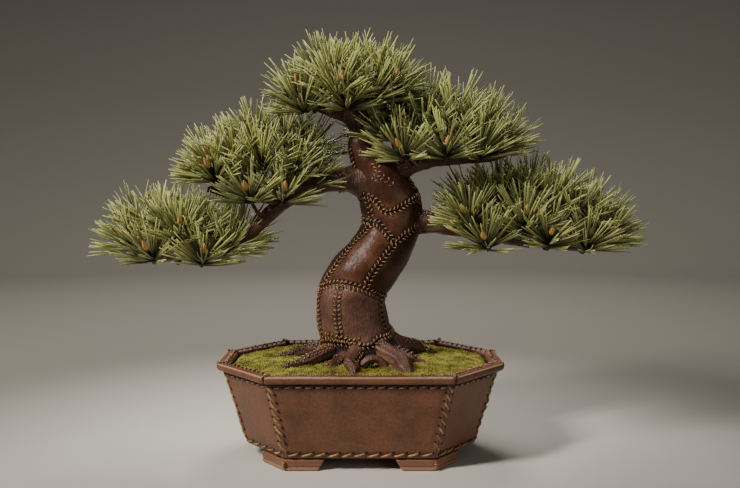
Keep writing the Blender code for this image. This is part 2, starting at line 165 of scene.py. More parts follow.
CAMERA_TILT = 4.0
camera_data = bpy.data.cameras.new("camera")
camera_data.lens = 41.35
camera_data.sensor_width = 36.0
camera = bpy.data.objects.new("camera", camera_data)
camera.location = (0.0086, -0.789, 0.247)
camera.rotation_euler = (math.radians(90 - CAMERA_TILT), 0, 0)
bpy.context.scene.collection.objects.link(camera)
bpy.context.scene.camera = camera


def soft_lamp(name, place, width, height, watts, colour, aim=(0.0, 0.0, 0.18)):
    """A rectangular area lamp at a place, turned towards AIM."""
    data = bpy.data.lights.new(name, "AREA")
    data.shape = "RECTANGLE"
    data.size = width
    data.size_y = height
    data.energy = watts
    data.color = colour
    lamp = bpy.data.objects.new(name, data)
    lamp.location = place
    lamp.rotation_euler = (lamp.location - Vector(aim)).to_track_quat("Z", "Y").to_euler()
    bpy.context.scene.collection.objects.link(lamp)


soft_lamp("key", (-1.1, -0.8, 1.25), 0.2, 0.5, 38.0, (1.0, 0.97, 0.92))
soft_lamp("fill", (1.3, -1.1, 0.5), 1.0, 1.0, 4.4, (0.95, 0.97, 1.0))
soft_lamp("top", (-0.1, 0.5, 1.5), 0.8, 0.6, 7.0, (1.0, 0.98, 0.95))
soft_lamp("backdrop", (0.0, 0.9, 1.3), 0.5, 0.3, 17.0, (1.0, 0.98, 0.95), (0.0, 1.5, 0.0))
world = bpy.data.worlds.new("studio")
world.use_nodes = True
world.node_tree.nodes["Background"].inputs["Color"].default_value = linear("b9b6b0")
world.node_tree.nodes["Background"].inputs["Strength"].default_value = 0.19
bpy.context.scene.world = world

# ---------------------------------------------------------------- pot: base board and feet
# The pot stands on four bracket feet under a thin board. Both are wood covered in brown dyed leather, glued
# on and burnished, with a rolled bead pressed round each foot just above the ground.


def leather(name, deep, body, warm, worn, grain, roughness, fibre=0.0, relief=0.45, gleam=0.4):
    """Dyed, waxed leather: cloudy dye from DEEP to BODY to WARM, paled towards WORN where the wear mark is high
    (real wear, and on the rim a painted highlight), and darkened where the crease mark is high, which paints
    shade into seams, grooves and hollows, with pebbled grain of GRAIN mm and fine pores. FIBRE sets how
    strongly the drawn-out creases of stretched hide show, RELIEF how deep the grain is, and GLEAM how the wax
    shines."""
    material, tree, shader = new_material(name, Specular_IOR_Level=gleam)
    place = add(tree, "ShaderNodeTexCoord").outputs["Object"]
    cloud = add(tree, "ShaderNodeTexNoise",
                {"Vector": place, "Scale": 1 / (28 * MM), "Detail": 5.0, "Roughness": 0.62})
    dye = add(tree, "ShaderNodeValToRGB", {"Fac": cloud.outputs["Fac"]},
              ((0.25, deep), (0.5, body), (0.75, warm)))
    speck = add(tree, "ShaderNodeTexNoise", {"Vector": place, "Scale": 1 / (2.2 * MM), "Detail": 3.0})
    speckle = add(tree, "ShaderNodeMapRange", {"Value": speck.outputs["Fac"], "From Min": 0.3,
                                               "From Max": 0.7, "To Min": 0.80, "To Max": 1.18})
    spotted = add(tree, "ShaderNodeMix",
                  {"Factor": 1.0, 6: dye.outputs["Color"], 7: speckle.outputs["Result"]},
                  data_type="RGBA", blend_type="MULTIPLY")
    # the wear mark pales real worn places, and on the rim it also paints a highlight
    wear = add(tree, "ShaderNodeAttribute", attribute_name="wear")
    wear_and_highlight = add(tree, "ShaderNodeMix",
                 {"Factor": wear.outputs["Fac"], 6: spotted.outputs[2], 7: linear(worn)},
                 data_type="RGBA")
    # the crease mark darkens the colour: mostly painted shade in seams, grooves, hollows and on shaded pieces
    crease = add(tree, "ShaderNodeAttribute", attribute_name="crease")
    shade = add(tree, "ShaderNodeMapRange", {"Value": crease.outputs["Fac"], "To Min": 1.0, "To Max": 0.22})
    final = add(tree, "ShaderNodeMix", {"Factor": 1.0, 6: wear_and_highlight.outputs[2], 7: shade.outputs["Result"]},
                data_type="RGBA", blend_type="MULTIPLY")
    tree.links.new(final.outputs[2], shader.inputs["Base Color"])
    pebbles = add(tree, "ShaderNodeTexVoronoi", {"Vector": place, "Scale": 1 / (grain * MM)},
                  feature="SMOOTH_F1")
    pores = add(tree, "ShaderNodeTexNoise", {"Vector": place, "Scale": 1 / (0.9 * MM), "Detail": 2.0})
    height = add(tree, "ShaderNodeMath", {0: pebbles.outputs["Distance"], 1: pores.outputs["Fac"]},
                 operation="ADD")
    bump = add(tree, "ShaderNodeBump",
               {"Height": height.outputs[0], "Strength": relief, "Distance": 0.35 * MM})
    slack = add(tree, "ShaderNodeMapping",
                {"Vector": place, "Scale": (1.0, 1.0, 0.22), "Rotation": (0.3, 0.35, 0.0)})
    threads = add(tree, "ShaderNodeTexNoise",
                  {"Vector": slack.outputs["Vector"], "Scale": 1 / (1.5 * MM), "Detail": 3.0})
    drawn = add(tree, "ShaderNodeBump", {"Height": threads.outputs["Fac"], "Strength": fibre,
                                         "Distance": 0.9 * MM, "Normal": bump.outputs["Normal"]})
    tree.links.new(drawn.outputs["Normal"], shader.inputs["Normal"])
    gloss = add(tree, "ShaderNodeMapRange", {"Value": cloud.outputs["Fac"], "From Min": 0.3, "From Max": 0.7,
                                             "To Min": roughness - 0.06, "To Max": roughness + 0.08})
    tree.links.new(gloss.outputs["Result"], shader.inputs["Roughness"])
    return material


# firm cowhide, dyed through and waxed by hand: an even satin brown, finely pebbled and paler at rubbed edges
panel_leather = leather("waxed_brown_bridle_leather", "543723", "6d4732", "7c4e38", "c39c7c", 1.7, 0.46)


def octagon(half_width, half_depth):
    """The pot's outline in the rim's shape, anticlockwise from the left corner of the front side."""
    front = half_width * RIM_FRONT / RIM_WIDTH
    side = half_depth * RIM_SIDE / RIM_DEPTH
    return np.array([(-front, -half_depth), (front, -half_depth), (half_width, -side), (half_width, side),
                     (front, half_depth), (-front, half_depth), (-half_width, side), (-half_width, -side)])


def inset(corners, distance):
    """Move every side of an anticlockwise outline inwards by DISTANCE."""
    before = unit(corners - np.roll(corners, 1, axis=0))
    after = unit(np.roll(corners, -1, axis=0) - corners)
    inward = np.stack([-before[:, 1] - after[:, 1], before[:, 0] + after[:, 0]], axis=1)
    return corners + inward * distance / (1 + (before * after).sum(axis=1))[:, None]


def box_mm(node):
    """The low and high corners of a CAD node's box."""
    low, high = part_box(node)
    return np.array(low) / MM, np.array(high) / MM


MITRE_GAP = 0.2
rim_front_low, rim_front_high = box_mm("rim_front")
rim_right_high = box_mm("rim_right")[1]
RIM_WIDTH = rim_right_high[0]
RIM_DEPTH = -rim_front_low[1]
RIM_FRONT = rim_front_high[0] + MITRE_GAP
RIM_SIDE = rim_right_high[1] + MITRE_GAP
RIM_LOW, RIM_TOP = rim_front_low[2], rim_front_high[2]
BOARD_LOW, BOARD_TOP = box_mm("base_board")[0][2], box_mm("base_board")[1][2]
BASE_DEPTH = -box_mm("foot_front_right")[0][1]
BASE_WIDTH = RIM_WIDTH * BASE_DEPTH / RIM_DEPTH
FOOT_TOP = box_mm("foot_front_right")[1][2]
PANEL_THICK = 4.0
WALL_LOW, WALL_TOP = box_mm("pot_panel_front")[0][2], box_mm("pot_panel_front")[1][2]
TOP_DEPTH = -box_mm("pot_panel_front")[0][1]
TOP_WIDTH = box_mm("pot_panel_right")[1][0]


def wall_outline(height):
    """The outline of the pot's outer face at a height: it widens evenly from the base to the rim."""
    share = (height - WALL_LOW) / (WALL_TOP - WALL_LOW)
    return octagon(BASE_WIDTH + (TOP_WIDTH - BASE_WIDTH) * share,
                   BASE_DEPTH + (TOP_DEPTH - BASE_DEPTH) * share)


def rounded(outline, radius, points=5):
    """Replace each corner by a curve of POINTS points that starts and ends RADIUS from the corner."""
    before = unit(np.roll(outline, 1, axis=0) - outline) * radius
    after = unit(np.roll(outline, -1, axis=0) - outline) * radius
    t = np.linspace(0, 1, points)[None, :, None]
    curve = outline[:, None] + before[:, None] * (1 - t) ** 2 + after[:, None] * t**2
    return curve.reshape(-1, 2)


def closed_faces(rows, columns):
    """The faces of a solid made of rings (rows x columns points) and two poles that follow them in the list:
    quads round the rows, and triangles that close the first row on one pole and the last on the other."""
    column = np.arange(columns)
    after = (column + 1) % columns
    pole = np.full(columns, rows * columns)
    last = (rows - 1) * columns
    caps = [np.stack([pole, column, after], axis=1),
            np.stack([pole + 1, last + after, last + column], axis=1)]
    return grid_quads(rows, columns, wrap=True), np.concatenate(caps)


def stacked(name, levels, pole, material, pitch=4.0, **marks):
    """A solid from levels of (height, anticlockwise outline), from the lowest up, closed above and below on
    the point POLE (x, y). Points are PITCH or less apart along the sides; MARKS are one value per level."""
    heights = np.array([height for height, _ in levels])
    outlines = np.stack([outline for _, outline in levels])
    ahead = np.roll(outlines, -1, axis=1)
    counts = np.maximum(np.ceil(np.linalg.norm(ahead[0] - outlines[0], axis=1) / pitch).astype(int), 1)
    corner = np.repeat(np.arange(len(counts)), counts)
    share = np.concatenate([np.arange(count) / count for count in counts])[:, None]
    flat = outlines[:, corner] * (1 - share) + ahead[:, corner] * share
    rows, columns = flat.shape[:2]
    rings = np.concatenate([flat, np.broadcast_to(heights[:, None, None], (rows, columns, 1))], axis=-1)
    points = np.concatenate([rings.reshape(-1, 3), [[*pole, heights[0]], [*pole, heights[-1]]]])
    quads, caps = closed_faces(rows, columns)
    values = {key: np.append(np.repeat(value, columns), [value[0], value[-1]])
              for key, value in marks.items()}
    return put_mesh(name, points, quads[:, ::-1], caps[:, ::-1], material, **values)


def keep(piece, slot_name, *nodes):
    """The piece rides on the part's one body and stands for CAD nodes, which it hides; SLOT_NAME is not used.
    """
    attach(piece, "root")
    if nodes:
        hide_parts(*nodes)
    return piece


base_outline = octagon(BASE_WIDTH, BASE_DEPTH)
BOARD_PLAY = 0.5
# height above the board's underside, how far the edge lies in, and how worn it is
board_edge = [(0.0, 1.0, 0.0), (0.5, 0.3, 0.1), (1.2, 0.0, 0.2), (2.5, 0.0, 0.1), (3.3, 0.3, 0.0),
              (BOARD_TOP - BOARD_LOW, 1.0, 0.0)]
board_levels = [(BOARD_LOW + up, rounded(inset(base_outline, PANEL_THICK + BOARD_PLAY + back), 1.2))
                for up, back, _ in board_edge]
board = stacked("base_board_leather", board_levels, (0, 0), panel_leather,
                wear=[worn for _, _, worn in board_edge])
keep(board, "panel_leather", "base_board")

FOOT_THICK = 10.0
FOOT_LEG = 34.6
FOOT_SIDE_SHARE = 0.6
FOOT_SLANT = 6.2
FOOT_ROUNDING = 1.4
FOOT_WEAR = 0.08
# height, how far the face stands out, and how worn it is
foot_profile = [(0.0, -0.9, 0.0), (0.3, -0.2, 0.0), (0.9, 0.15, 0.15), (2.0, 0.3, 0.3), (2.9, 0.1, 0.2),
                (3.3, -0.6, 0.0), (3.8, -0.6, 0.0), (4.3, -0.1, 0.15), (6.0, -0.2, 0.0), (8.4, -0.1, 0.0),
                (9.4, 0.0, 0.1), (9.8, -0.3, 0.0), (FOOT_TOP, -0.9, 0.0)]
for name, corner, along_front, along_side in (("front_left", 0, 1, 7), ("front_right", 1, 0, 2),
                                              ("back_right", 4, 5, 3), ("back_left", 5, 4, 6)):
    knee = base_outline[corner]
    front_way = unit(base_outline[along_front] - knee)
    side_edge = base_outline[along_side] - knee
    side_way = unit(side_edge)
    depth = inset(base_outline, FOOT_THICK)[corner] - knee
    levels = []
    for height, out, _ in foot_profile:
        # toe and heel both draw in towards the ground, the heel half as far
        slant = FOOT_SLANT * (1 - height / FOOT_TOP) ** 1.4
        toe = knee + front_way * (FOOT_LEG - slant)
        heel = knee + side_edge * FOOT_SIDE_SHARE - side_way * slant * 0.5
        outline = np.array([knee, heel, heel + depth - side_way * (depth @ side_way), knee + depth,
                            toe + np.array([0.0, depth[1]]), toe])
        if corner in (0, 4):
            outline = outline[[0, 5, 4, 3, 2, 1]]
        levels.append((height, rounded(inset(outline, -out), FOOT_ROUNDING)))
    foot = stacked("foot_" + name + "_leather", levels, knee + depth * 0.5, panel_leather, 3.0,
                   wear=[worn + FOOT_WEAR for _, _, worn in foot_profile])
    keep(foot, "panel_leather", "foot_" + name)

# ---------------------------------------------------------------- pot: the eight wall panels
# Each wall is a separate panel of 4 mm bridle leather, cut to shape and bevelled, standing on the board edge
# to edge with the next. The faces swell a little between the seams, where the lacing pulls the edges in.


def ripple(points, size, seed):
    """Smooth bumps about SIZE across, mostly from -1 to 1: a dozen sine waves in seeded directions, added."""
    rng = np.random.default_rng(seed)
    total = 0.0
    for _ in range(12):
        way = rng.normal(size=3)
        way *= rng.uniform(0.7, 1.6) / np.linalg.norm(way)
        total = total + np.sin(points @ way * math.tau / (2 * size) + rng.uniform(0, math.tau))
    return total / 4.2


def hump(values, middle, width):
    """A bell: 1 where VALUES are MIDDLE, and 1/e at WIDTH on either side."""
    return np.exp(-((values - middle) / width) ** 2)


def crowded(length, pitch, rounding):
    """Shares from 0 to 1 along a LENGTH: close together over the rounded ends, PITCH apart between them."""
    edge = rounding * (1 - np.cos(np.linspace(0, math.pi / 2, 5)))
    middle = np.linspace(rounding, length - rounding, max(int(length / pitch), 2))[1:-1]
    return np.concatenate([edge, middle, length - edge[::-1]]) / length


def edge_distance(grid):
    """Distance of each point of a grid to its nearest border, along its rows and columns."""
    away = []
    for axis in (0, 1):
        step = np.linalg.norm(np.diff(grid, axis=axis), axis=-1)
        run = np.concatenate([np.zeros_like(step.take([0], axis)), np.cumsum(step, axis)], axis)
        away.append(np.minimum(run, run.take([-1], axis) - run))
    return np.minimum(*away)


def sheet_piece(name, middle, normal, thickness, rounding, material, lift=0.0, **marks):
    """A piece of sheet with rounded edges: two skins at half the thickness either side of the MIDDLE grid,
    meeting round its border in a quarter circle. LIFT raises the outer skin; MARKS are for that skin."""
    away = edge_distance(middle)
    half = thickness / 2 * np.sqrt(1 - (1 - np.clip(away / rounding, 0, 1)) ** 2)
    front = middle + normal * (half + lift * (away > 0))[..., None]
    back = middle - normal * half[..., None]
    rows, columns = middle.shape[:2]
    within = (rows - 2) * (columns - 2)
    behind = np.arange(rows * columns).reshape(rows, columns)
    behind[1:-1, 1:-1] = rows * columns + np.arange(within).reshape(rows - 2, columns - 2)
    outer = grid_quads(rows, columns)
    inner = behind.ravel()[outer][:, ::-1]
    points = np.concatenate([front.reshape(-1, 3), back[1:-1, 1:-1].reshape(-1, 3)])
    values = {key: np.concatenate([value.ravel(), np.zeros(within)]) for key, value in marks.items()}
    return put_mesh(name, points, np.concatenate([outer, inner]), [], material, **values)


SIDES = ["front", "front_right", "right", "back_right", "back", "back_left", "left", "front_left"]
PANEL_GAP = 0.35
PANEL_PITCH = 1.6
PANEL_BEVEL = 2.0
PANEL_SINK = 0.5
RIM_LACE_HEIGHT = WALL_TOP - 2.4
BASE_LACE_HEIGHT = WALL_LOW + 4.2
# the corner lacing pulls the edges in between these heights
PULL_LOW, PULL_HIGH = 20, 72

low_corners = np.column_stack([wall_outline(WALL_LOW), np.full(8, WALL_LOW)])
high_corners = np.column_stack([wall_outline(WALL_TOP), np.full(8, WALL_TOP)])
for index, side in enumerate(SIDES):
    following = (index + 1) % 8
    bottom = low_corners[[index, following]]
    top = high_corners[[index, following]]
    along = unit(bottom[1] - bottom[0])
    across = crowded(np.linalg.norm(top[1] - top[0]), PANEL_PITCH, PANEL_BEVEL)[:, None, None]
    upwards = crowded(WALL_TOP - WALL_LOW, PANEL_PITCH, PANEL_BEVEL)[None, :, None]
    left = bottom[0] * (1 - upwards) + top[0] * upwards + along * PANEL_GAP
    right = bottom[1] * (1 - upwards) + top[1] * upwards - along * PANEL_GAP
    face = left * (1 - across) + right * across
    outward = unit(np.cross(along, top[0] - bottom[0]))
    away = edge_distance(face)
    height = face[..., 2]
    rough = 0.16 * ripple(face, 26.0, 3 + index) + 0.05 * ripple(face, 6.0, 5)
    swell = 0.5 * (1 - np.exp(-away / 9.0)) + rough
    pull = (0.5 * hump(height, RIM_LACE_HEIGHT, 1.6) + 0.6 * hump(height, BASE_LACE_HEIGHT, 1.6)
            + 0.5 * hump(away, 4.5, 1.6) * (height > PULL_LOW) * (height < PULL_HIGH))
    # painted shade: the crease mark darkens the wall under the rim's overhang, along the lace rows and at each
    # panel's edges
    under_lace = 0.55 * hump(height, RIM_LACE_HEIGHT, 1.5) + 0.35 * hump(height, BASE_LACE_HEIGHT, 2.0)
    under_rim = 0.65 * np.clip((height - WALL_TOP + 3) / 3, 0, 1)
    crease = np.clip(under_lace + 0.5 * np.exp(-away / 1.2) + under_rim, 0, 1)
    middle = face - outward * (PANEL_THICK / 2)
    lift = (swell - pull) * np.clip(away / 3, 0, 1) - PANEL_SINK
    panel = sheet_piece("panel_" + side + "_leather", middle, np.broadcast_to(outward, middle.shape),
                        PANEL_THICK, PANEL_BEVEL, panel_leather, lift=lift, crease=crease,
                        wear=0.16 * hump(away, 1.2, 0.8))
    keep(panel, "panel_leather", "pot_panel_" + side)

# ---------------------------------------------------------------- pot: the rim
# Eight lengths of soft leather rolled over a core and butted at the corners, where each is drawn in by its
# seam. The outer edge is round, the top nearly flat, and the inner edge turns down into the pot.

RIM_BAND = 12.0
RIM_SOFTNESS = 0.62
RIM_TOP_FALL = 0.09
turn = np.linspace(-math.pi / 2, 1.5 * math.pi, 40, endpoint=False)
squarish = [np.sign(wave) * np.abs(wave) ** RIM_SOFTNESS for wave in (np.cos(turn), np.sin(turn))]
rim_inset = RIM_BAND / 2 * (1 - squarish[0])
rim_height = (RIM_LOW + RIM_TOP) / 2 + (RIM_TOP - RIM_LOW) / 2 * squarish[1]
rim_height = rim_height - RIM_TOP_FALL * rim_inset * (np.sin(turn) > 0)
rim_height = rim_height - 0.45 * hump(rim_inset, 2.4, 0.9) * (np.sin(turn) > 0.2)
rim_outline = octagon(RIM_WIDTH, RIM_DEPTH)
rim_corners = np.stack([inset(rim_outline, distance) for distance in rim_inset])
for index, side in enumerate(SIDES):
    start = np.column_stack([rim_corners[:, index], rim_height])
    end = np.column_stack([rim_corners[:, (index + 1) % 8], rim_height])
    length = np.linalg.norm(end[0] - start[0])
    share = crowded(length, 2.0, 3.0)
    run = share[:, None, None] * length
    nearest = np.minimum(run, length - run)
    drawn_in = MITRE_GAP / length + share * (1 - 2 * MITRE_GAP / length)
    line = start[None] + (end - start)[None] * drawn_in[:, None, None]
    heart = line.mean(axis=1, keepdims=True)
    pinch = 1 - 0.30 * np.exp(-nearest / 1.1)
    puckers = 0.16 * np.exp(-nearest / 7.0) * np.sin(line[..., 2:] * 2.2 + run * 0.9)
    rough = puckers + 0.13 * ripple(line, 14.0, 20 + index)[..., None] - 0.15
    body = heart + (line - heart) * pinch + unit(line - heart) * rough
    points = np.concatenate([body.reshape(-1, 3), heart[0], heart[-1]])
    rows, columns = body.shape[:2]
    quads, caps = closed_faces(rows, columns)
    # painted highlight: the wear mark brightens a line along the top of the rolled outer edge
    shine = 0.95 * hump(rim_inset, 1.0, 0.6) * (np.sin(turn) > 0.3)
    wear_and_highlight = np.append(np.tile(shine, rows), [0, 0])
    # painted shade: the crease mark darkens each length towards its ends, where the mitres pinch in
    dark = np.append(np.repeat(0.6 * np.exp(-nearest[:, 0, 0] / 0.8), columns), [1, 1])
    rim = put_mesh("rim_" + side + "_leather", points, quads, caps, panel_leather, wear=wear_and_highlight, crease=dark)
    keep(rim, "panel_leather", "rim_" + side)

# ---------------------------------------------------------------- pot: lacing
# Waxed tan thread about 2 mm thick. Slanting strokes whip it down each corner seam; it runs in and out under
# the rim, and slants along the foot of the walls. Each stroke goes into a hole punched with an awl.


def sweep(paths, radii, up, sides, flatness=1.0):
    """Rings of SIDES points carried along each path, wide across UP, FLATNESS as high, closed at both ends.

    paths is N x K x 3, radii N x K and up N x 3; returns points, quads and triangles for all N together."""
    count, steps = paths.shape[:2]
    tangent = unit(np.gradient(paths, axis=1))
    across = unit(np.cross(tangent, np.broadcast_to(up[:, None], tangent.shape)))
    over = np.cross(across, tangent)
    angle = np.arange(sides) * math.tau / sides
    offset = (np.cos(angle)[:, None] * across[:, :, None]
              + flatness * np.sin(angle)[:, None] * over[:, :, None])
    rings = paths[:, :, None] + radii[:, :, None, None] * offset
    points = np.concatenate([rings.reshape(count, -1, 3), paths[:, :1], paths[:, -1:]], axis=1)
    first = (np.arange(count) * (steps * sides + 2))[:, None, None]
    quads, caps = closed_faces(steps, sides)
    return points.reshape(-1, 3), (quads[None] + first).reshape(-1, 4), (caps[None] + first).reshape(-1, 3)


STROKE_RINGS = 7
STROKE_SIDES = 6


def stitches(name, starts, ends, normals, radius, lift, material, over=0.0):
    """One thread stroke for each start and end: it leaves a hole, arches LIFT over the leather and goes in.

    The height follows the square root of a half sine, so that the stroke rises steeply and lies flat between.
    A stroke that crosses a corner is bent over it: its middle stands OVER mm further out, falling evenly to
    the ends. Each stroke is a little off its place, length and tension, as handwork is."""
    rng = np.random.default_rng(len(starts))
    wander = rng.normal(0, 0.24, (2, len(starts), 3))
    starts, ends = starts + wander[0], ends + wander[1]
    s = np.linspace(0, 1, STROKE_RINGS)[None, :, None]
    arch = np.sqrt(np.sin(math.pi * s)) * (lift * rng.uniform(0.7, 1.3, (len(starts), 1, 1)) + 0.9) - 0.9
    arch = arch + over * (1 - np.abs(2 * s - 1))
    paths = starts[:, None] * (1 - s) + ends[:, None] * s + normals[:, None] * arch
    swelling = 0.72 + 0.28 * np.sin(math.pi * s[..., 0]) ** 0.6
    radii = radius * swelling * rng.uniform(0.85, 1.12, (len(starts), 1))
    points, quads, triangles = sweep(paths, radii, normals, STROKE_SIDES, 0.85)
    along = np.append(np.repeat(s.ravel(), STROKE_SIDES), [0, 1])
    # painted shade: each stroke darkens towards its ends, where it dips into its hole
    ends_dark = np.tile(np.abs(2 * along - 1) ** 3, len(starts))
    tone = np.repeat(rng.uniform(0, 1, len(starts)), len(along))
    return put_mesh(name, points, quads, triangles, material, crease=ends_dark, tone=tone)


def awl_holes(name, places, normals, radius, material):
    """A small dark dimple at each place: a short plug of three rings, its narrow end just above the hide."""
    s = np.linspace(-0.35, 0.12, 3)[None, :, None]
    paths = places[:, None] + normals[:, None] * s
    side = unit(np.cross(normals, [0.3, 0.2, 1.0]))
    radii = radius * np.array([1.0, 1.0, 0.55])[None] * np.ones((len(places), 1))
    return put_mesh(name, *sweep(paths, radii, side, 8), material)


# plied linen drawn through wax: a dull gleam, light fibres in brown, and painted shade where a stroke dips into
# its hole
thread, tree, shader = new_material("waxed_tan_linen_thread", Roughness=0.5, Coat_Weight=0.15,
                                    Coat_Roughness=0.4)
place = add(tree, "ShaderNodeTexCoord").outputs["Object"]
fibre = add(tree, "ShaderNodeTexNoise", {"Vector": place, "Scale": 1 / (1.6 * MM), "Detail": 3.0})
tone = add(tree, "ShaderNodeValToRGB", {"Fac": fibre.outputs["Fac"]}, ((0.3, "6e4626"), (0.7, "c39a66")))
stroke = add(tree, "ShaderNodeAttribute", attribute_name="tone")
light = add(tree, "ShaderNodeMapRange", {"Value": stroke.outputs["Fac"], "To Min": 0.6, "To Max": 1.25})
toned = add(tree, "ShaderNodeMix", {"Factor": 1.0, 6: tone.outputs["Color"], 7: light.outputs["Result"]},
            data_type="RGBA", blend_type="MULTIPLY")
dip = add(tree, "ShaderNodeAttribute", attribute_name="crease")
shade = add(tree, "ShaderNodeMapRange", {"Value": dip.outputs["Fac"], "To Min": 1.0, "To Max": 0.25})
final = add(tree, "ShaderNodeMix", {"Factor": 1.0, 6: toned.outputs[2], 7: shade.outputs["Result"]},
            data_type="RGBA", blend_type="MULTIPLY")
tree.links.new(final.outputs[2], shader.inputs["Base Color"])
bump = add(tree, "ShaderNodeBump", {"Height": fibre.outputs["Fac"], "Strength": 0.5, "Distance": 0.3 * MM})
tree.links.new(bump.outputs["Normal"], shader.inputs["Normal"])
# the inside of a hole gets no light
hole_dark, _, _ = new_material("awl_hole_shadow", Base_Color=linear("140c08"), Roughness=0.9)


def level(points, height):
    """Flat points set at a height."""
    return np.column_stack([points, np.broadcast_to(height, len(points))])


def wall_normal(index):
    """The direction that a wall of the pot faces."""
    return unit(np.cross(low_corners[(index + 1) % 8] - low_corners[index],
                         high_corners[index] - low_corners[index]))


CORNER_PITCH = 7.5
# how far the strokes reach either side of a corner, and how far inside its sharp edge the leather is rounded
REACH_LEFT, REACH_RIGHT, CORNER_ROUNDING = 3.6, 4.0, 0.9
for index in range(8):
    heights = np.arange(BASE_LACE_HEIGHT + CORNER_PITCH, RIM_LACE_HEIGHT - 1, CORNER_PITCH)
    corner = np.stack([np.append(wall_outline(height)[index], height) for height in heights])
    slope = unit(high_corners[index] - low_corners[index])
    to_left = unit(low_corners[index - 1] - low_corners[index])
    to_right = unit(low_corners[(index + 1) % 8] - low_corners[index])
    normals = np.broadcast_to(unit(wall_normal(index - 1) + wall_normal(index)), corner.shape)
    starts = corner + to_left * REACH_LEFT + slope * 4.2
    ends = corner + to_right * REACH_RIGHT - slope * 4.8
    stands_out = -(to_left * REACH_LEFT + to_right * REACH_RIGHT) @ normals[0] / 2 - CORNER_ROUNDING
    name = f"{SIDES[index - 1]}_to_{SIDES[index]}"
    lace = stitches("corner_lace_" + name + "_thread", starts, ends, normals, 1.0, 0.2, thread, stands_out)
    keep(lace, "lacing_thread", "corner_lace_" + name)
    pits = np.concatenate([starts + to_left * 0.5 + slope * 0.5, ends + to_right * 0.6 - slope * 0.5])
    sides = np.concatenate([np.broadcast_to(wall_normal(way), corner.shape) for way in (index - 1, index)])
    keep(awl_holes("corner_holes_" + name, pits, sides, 1.0, hole_dark), "panel_leather")


CORNER_MARGIN = 3


def wall_run(height, pitch, length, rise):
    """Stitch starts, ends and normals round the pot at a height: LENGTH long, PITCH apart, rising by RISE."""
    corners = wall_outline(height)
    strokes = []
    for index in range(8):
        a, b = corners[index], corners[(index + 1) % 8]
        span = np.linalg.norm(b - a) - 2 * CORNER_MARGIN
        count = int(round(span / pitch))
        middle = (np.arange(count) + 0.5) / count * span + CORNER_MARGIN
        way = unit(b - a)
        lean = unit(high_corners[index] - low_corners[index])
        base = level(a + middle[:, None] * way, height)
        step = np.append(way, 0.0) * length / 2 + lean * rise / 2
        strokes.append((base - step, base + step, np.broadcast_to(wall_normal(index), base.shape)))
    return map(np.concatenate, zip(*strokes))


starts, ends, normals = wall_run(RIM_LACE_HEIGHT, 8.8, 5.8, 0.9)
keep(stitches("rim_lace_thread", starts, ends, normals, 0.75, 0.45, thread), "lacing_thread", "rim_lace")
keep(awl_holes("rim_lace_holes", starts - (ends - starts) * 0.12, normals, 1.0, hole_dark), "panel_leather")
starts, ends, normals = wall_run(BASE_LACE_HEIGHT, 11.3, 10.8, 3.4)
keep(stitches("base_lace_thread", starts, ends, normals, 1.0, 0.6, thread), "lacing_thread", "base_lace")
keep(awl_holes("base_lace_holes", ends + (ends - starts) * 0.06, normals, 1.15, hole_dark), "panel_leather")

# whip stitches over the rim's inner edge, three across each of its mitres, and three on each foot's corner
outer = inset(rim_outline, 6.0)
inner = inset(rim_outline, 10.0)
strokes = []
for index in range(8):
    way = unit(rim_outline[(index + 1) % 8] - rim_outline[index])
    span = np.linalg.norm(outer[(index + 1) % 8] - outer[index])
    count = int(span / 6.2)
    run = ((np.arange(count) + 0.5) / count * span)[:, None]
    inwards = inner[index] - outer[index]
    inwards = inwards - way * (inwards @ way)
    strokes.append((level(outer[index] + way * (run + 0.9), RIM_TOP - 0.5),
                    level(outer[index] + way * (run - 0.9) + inwards, RIM_TOP - 1.0),
                    np.broadcast_to(unit(np.append(inwards, 4.0)), (count, 3))))
    seam = unit(outer[index] - rim_outline[index])
    slant = np.array([-seam[1], seam[0]]) * 1.7 - seam * 0.6
    middle = rim_outline[index] + seam * np.array([2.2, 5.2, 8.2])[:, None]
    strokes.append((level(middle + slant, RIM_TOP - 0.9), level(middle - slant, RIM_TOP - 0.9),
                    np.broadcast_to([0.0, 0.0, 1.0], (3, 3))))
for corner in (0, 1, 4, 5):
    out = unit(base_outline[corner])
    side = np.array([-out[1], out[0]])
    heights = np.array([3.4, 5.6, 7.8])
    middle = np.broadcast_to(base_outline[corner], (3, 2))
    strokes.append((level(middle + side * 1.1, heights - 0.7), level(middle - side * 1.1, heights + 0.9),
                    np.broadcast_to(np.append(out, 0.0), (3, 3))))
whips = stitches("rim_whip_stitches", *map(np.concatenate, zip(*strokes)), 0.85, 1.2, thread)
keep(whips, "lacing_thread")

# ---------------------------------------------------------------- soil and moss
# Packed potting soil fills the pot; a low mound of living moss lies on it, a few millimetres from the rim.
# The moss is a carpet of short upright shoots, yellow-green at the tips and brown between them.

MOSS_LOW = box_mm("moss")[0][2]
MOSS_CROWN = box_mm("moss")[1][2]
MOSS_EDGE = MOSS_LOW + 4.0
MOSS_WIDTH, MOSS_DEPTH = box_mm("moss")[1][:2]
SOIL_LOW, SOIL_TOP = box_mm("soil")[0][2], box_mm("soil")[1][2]

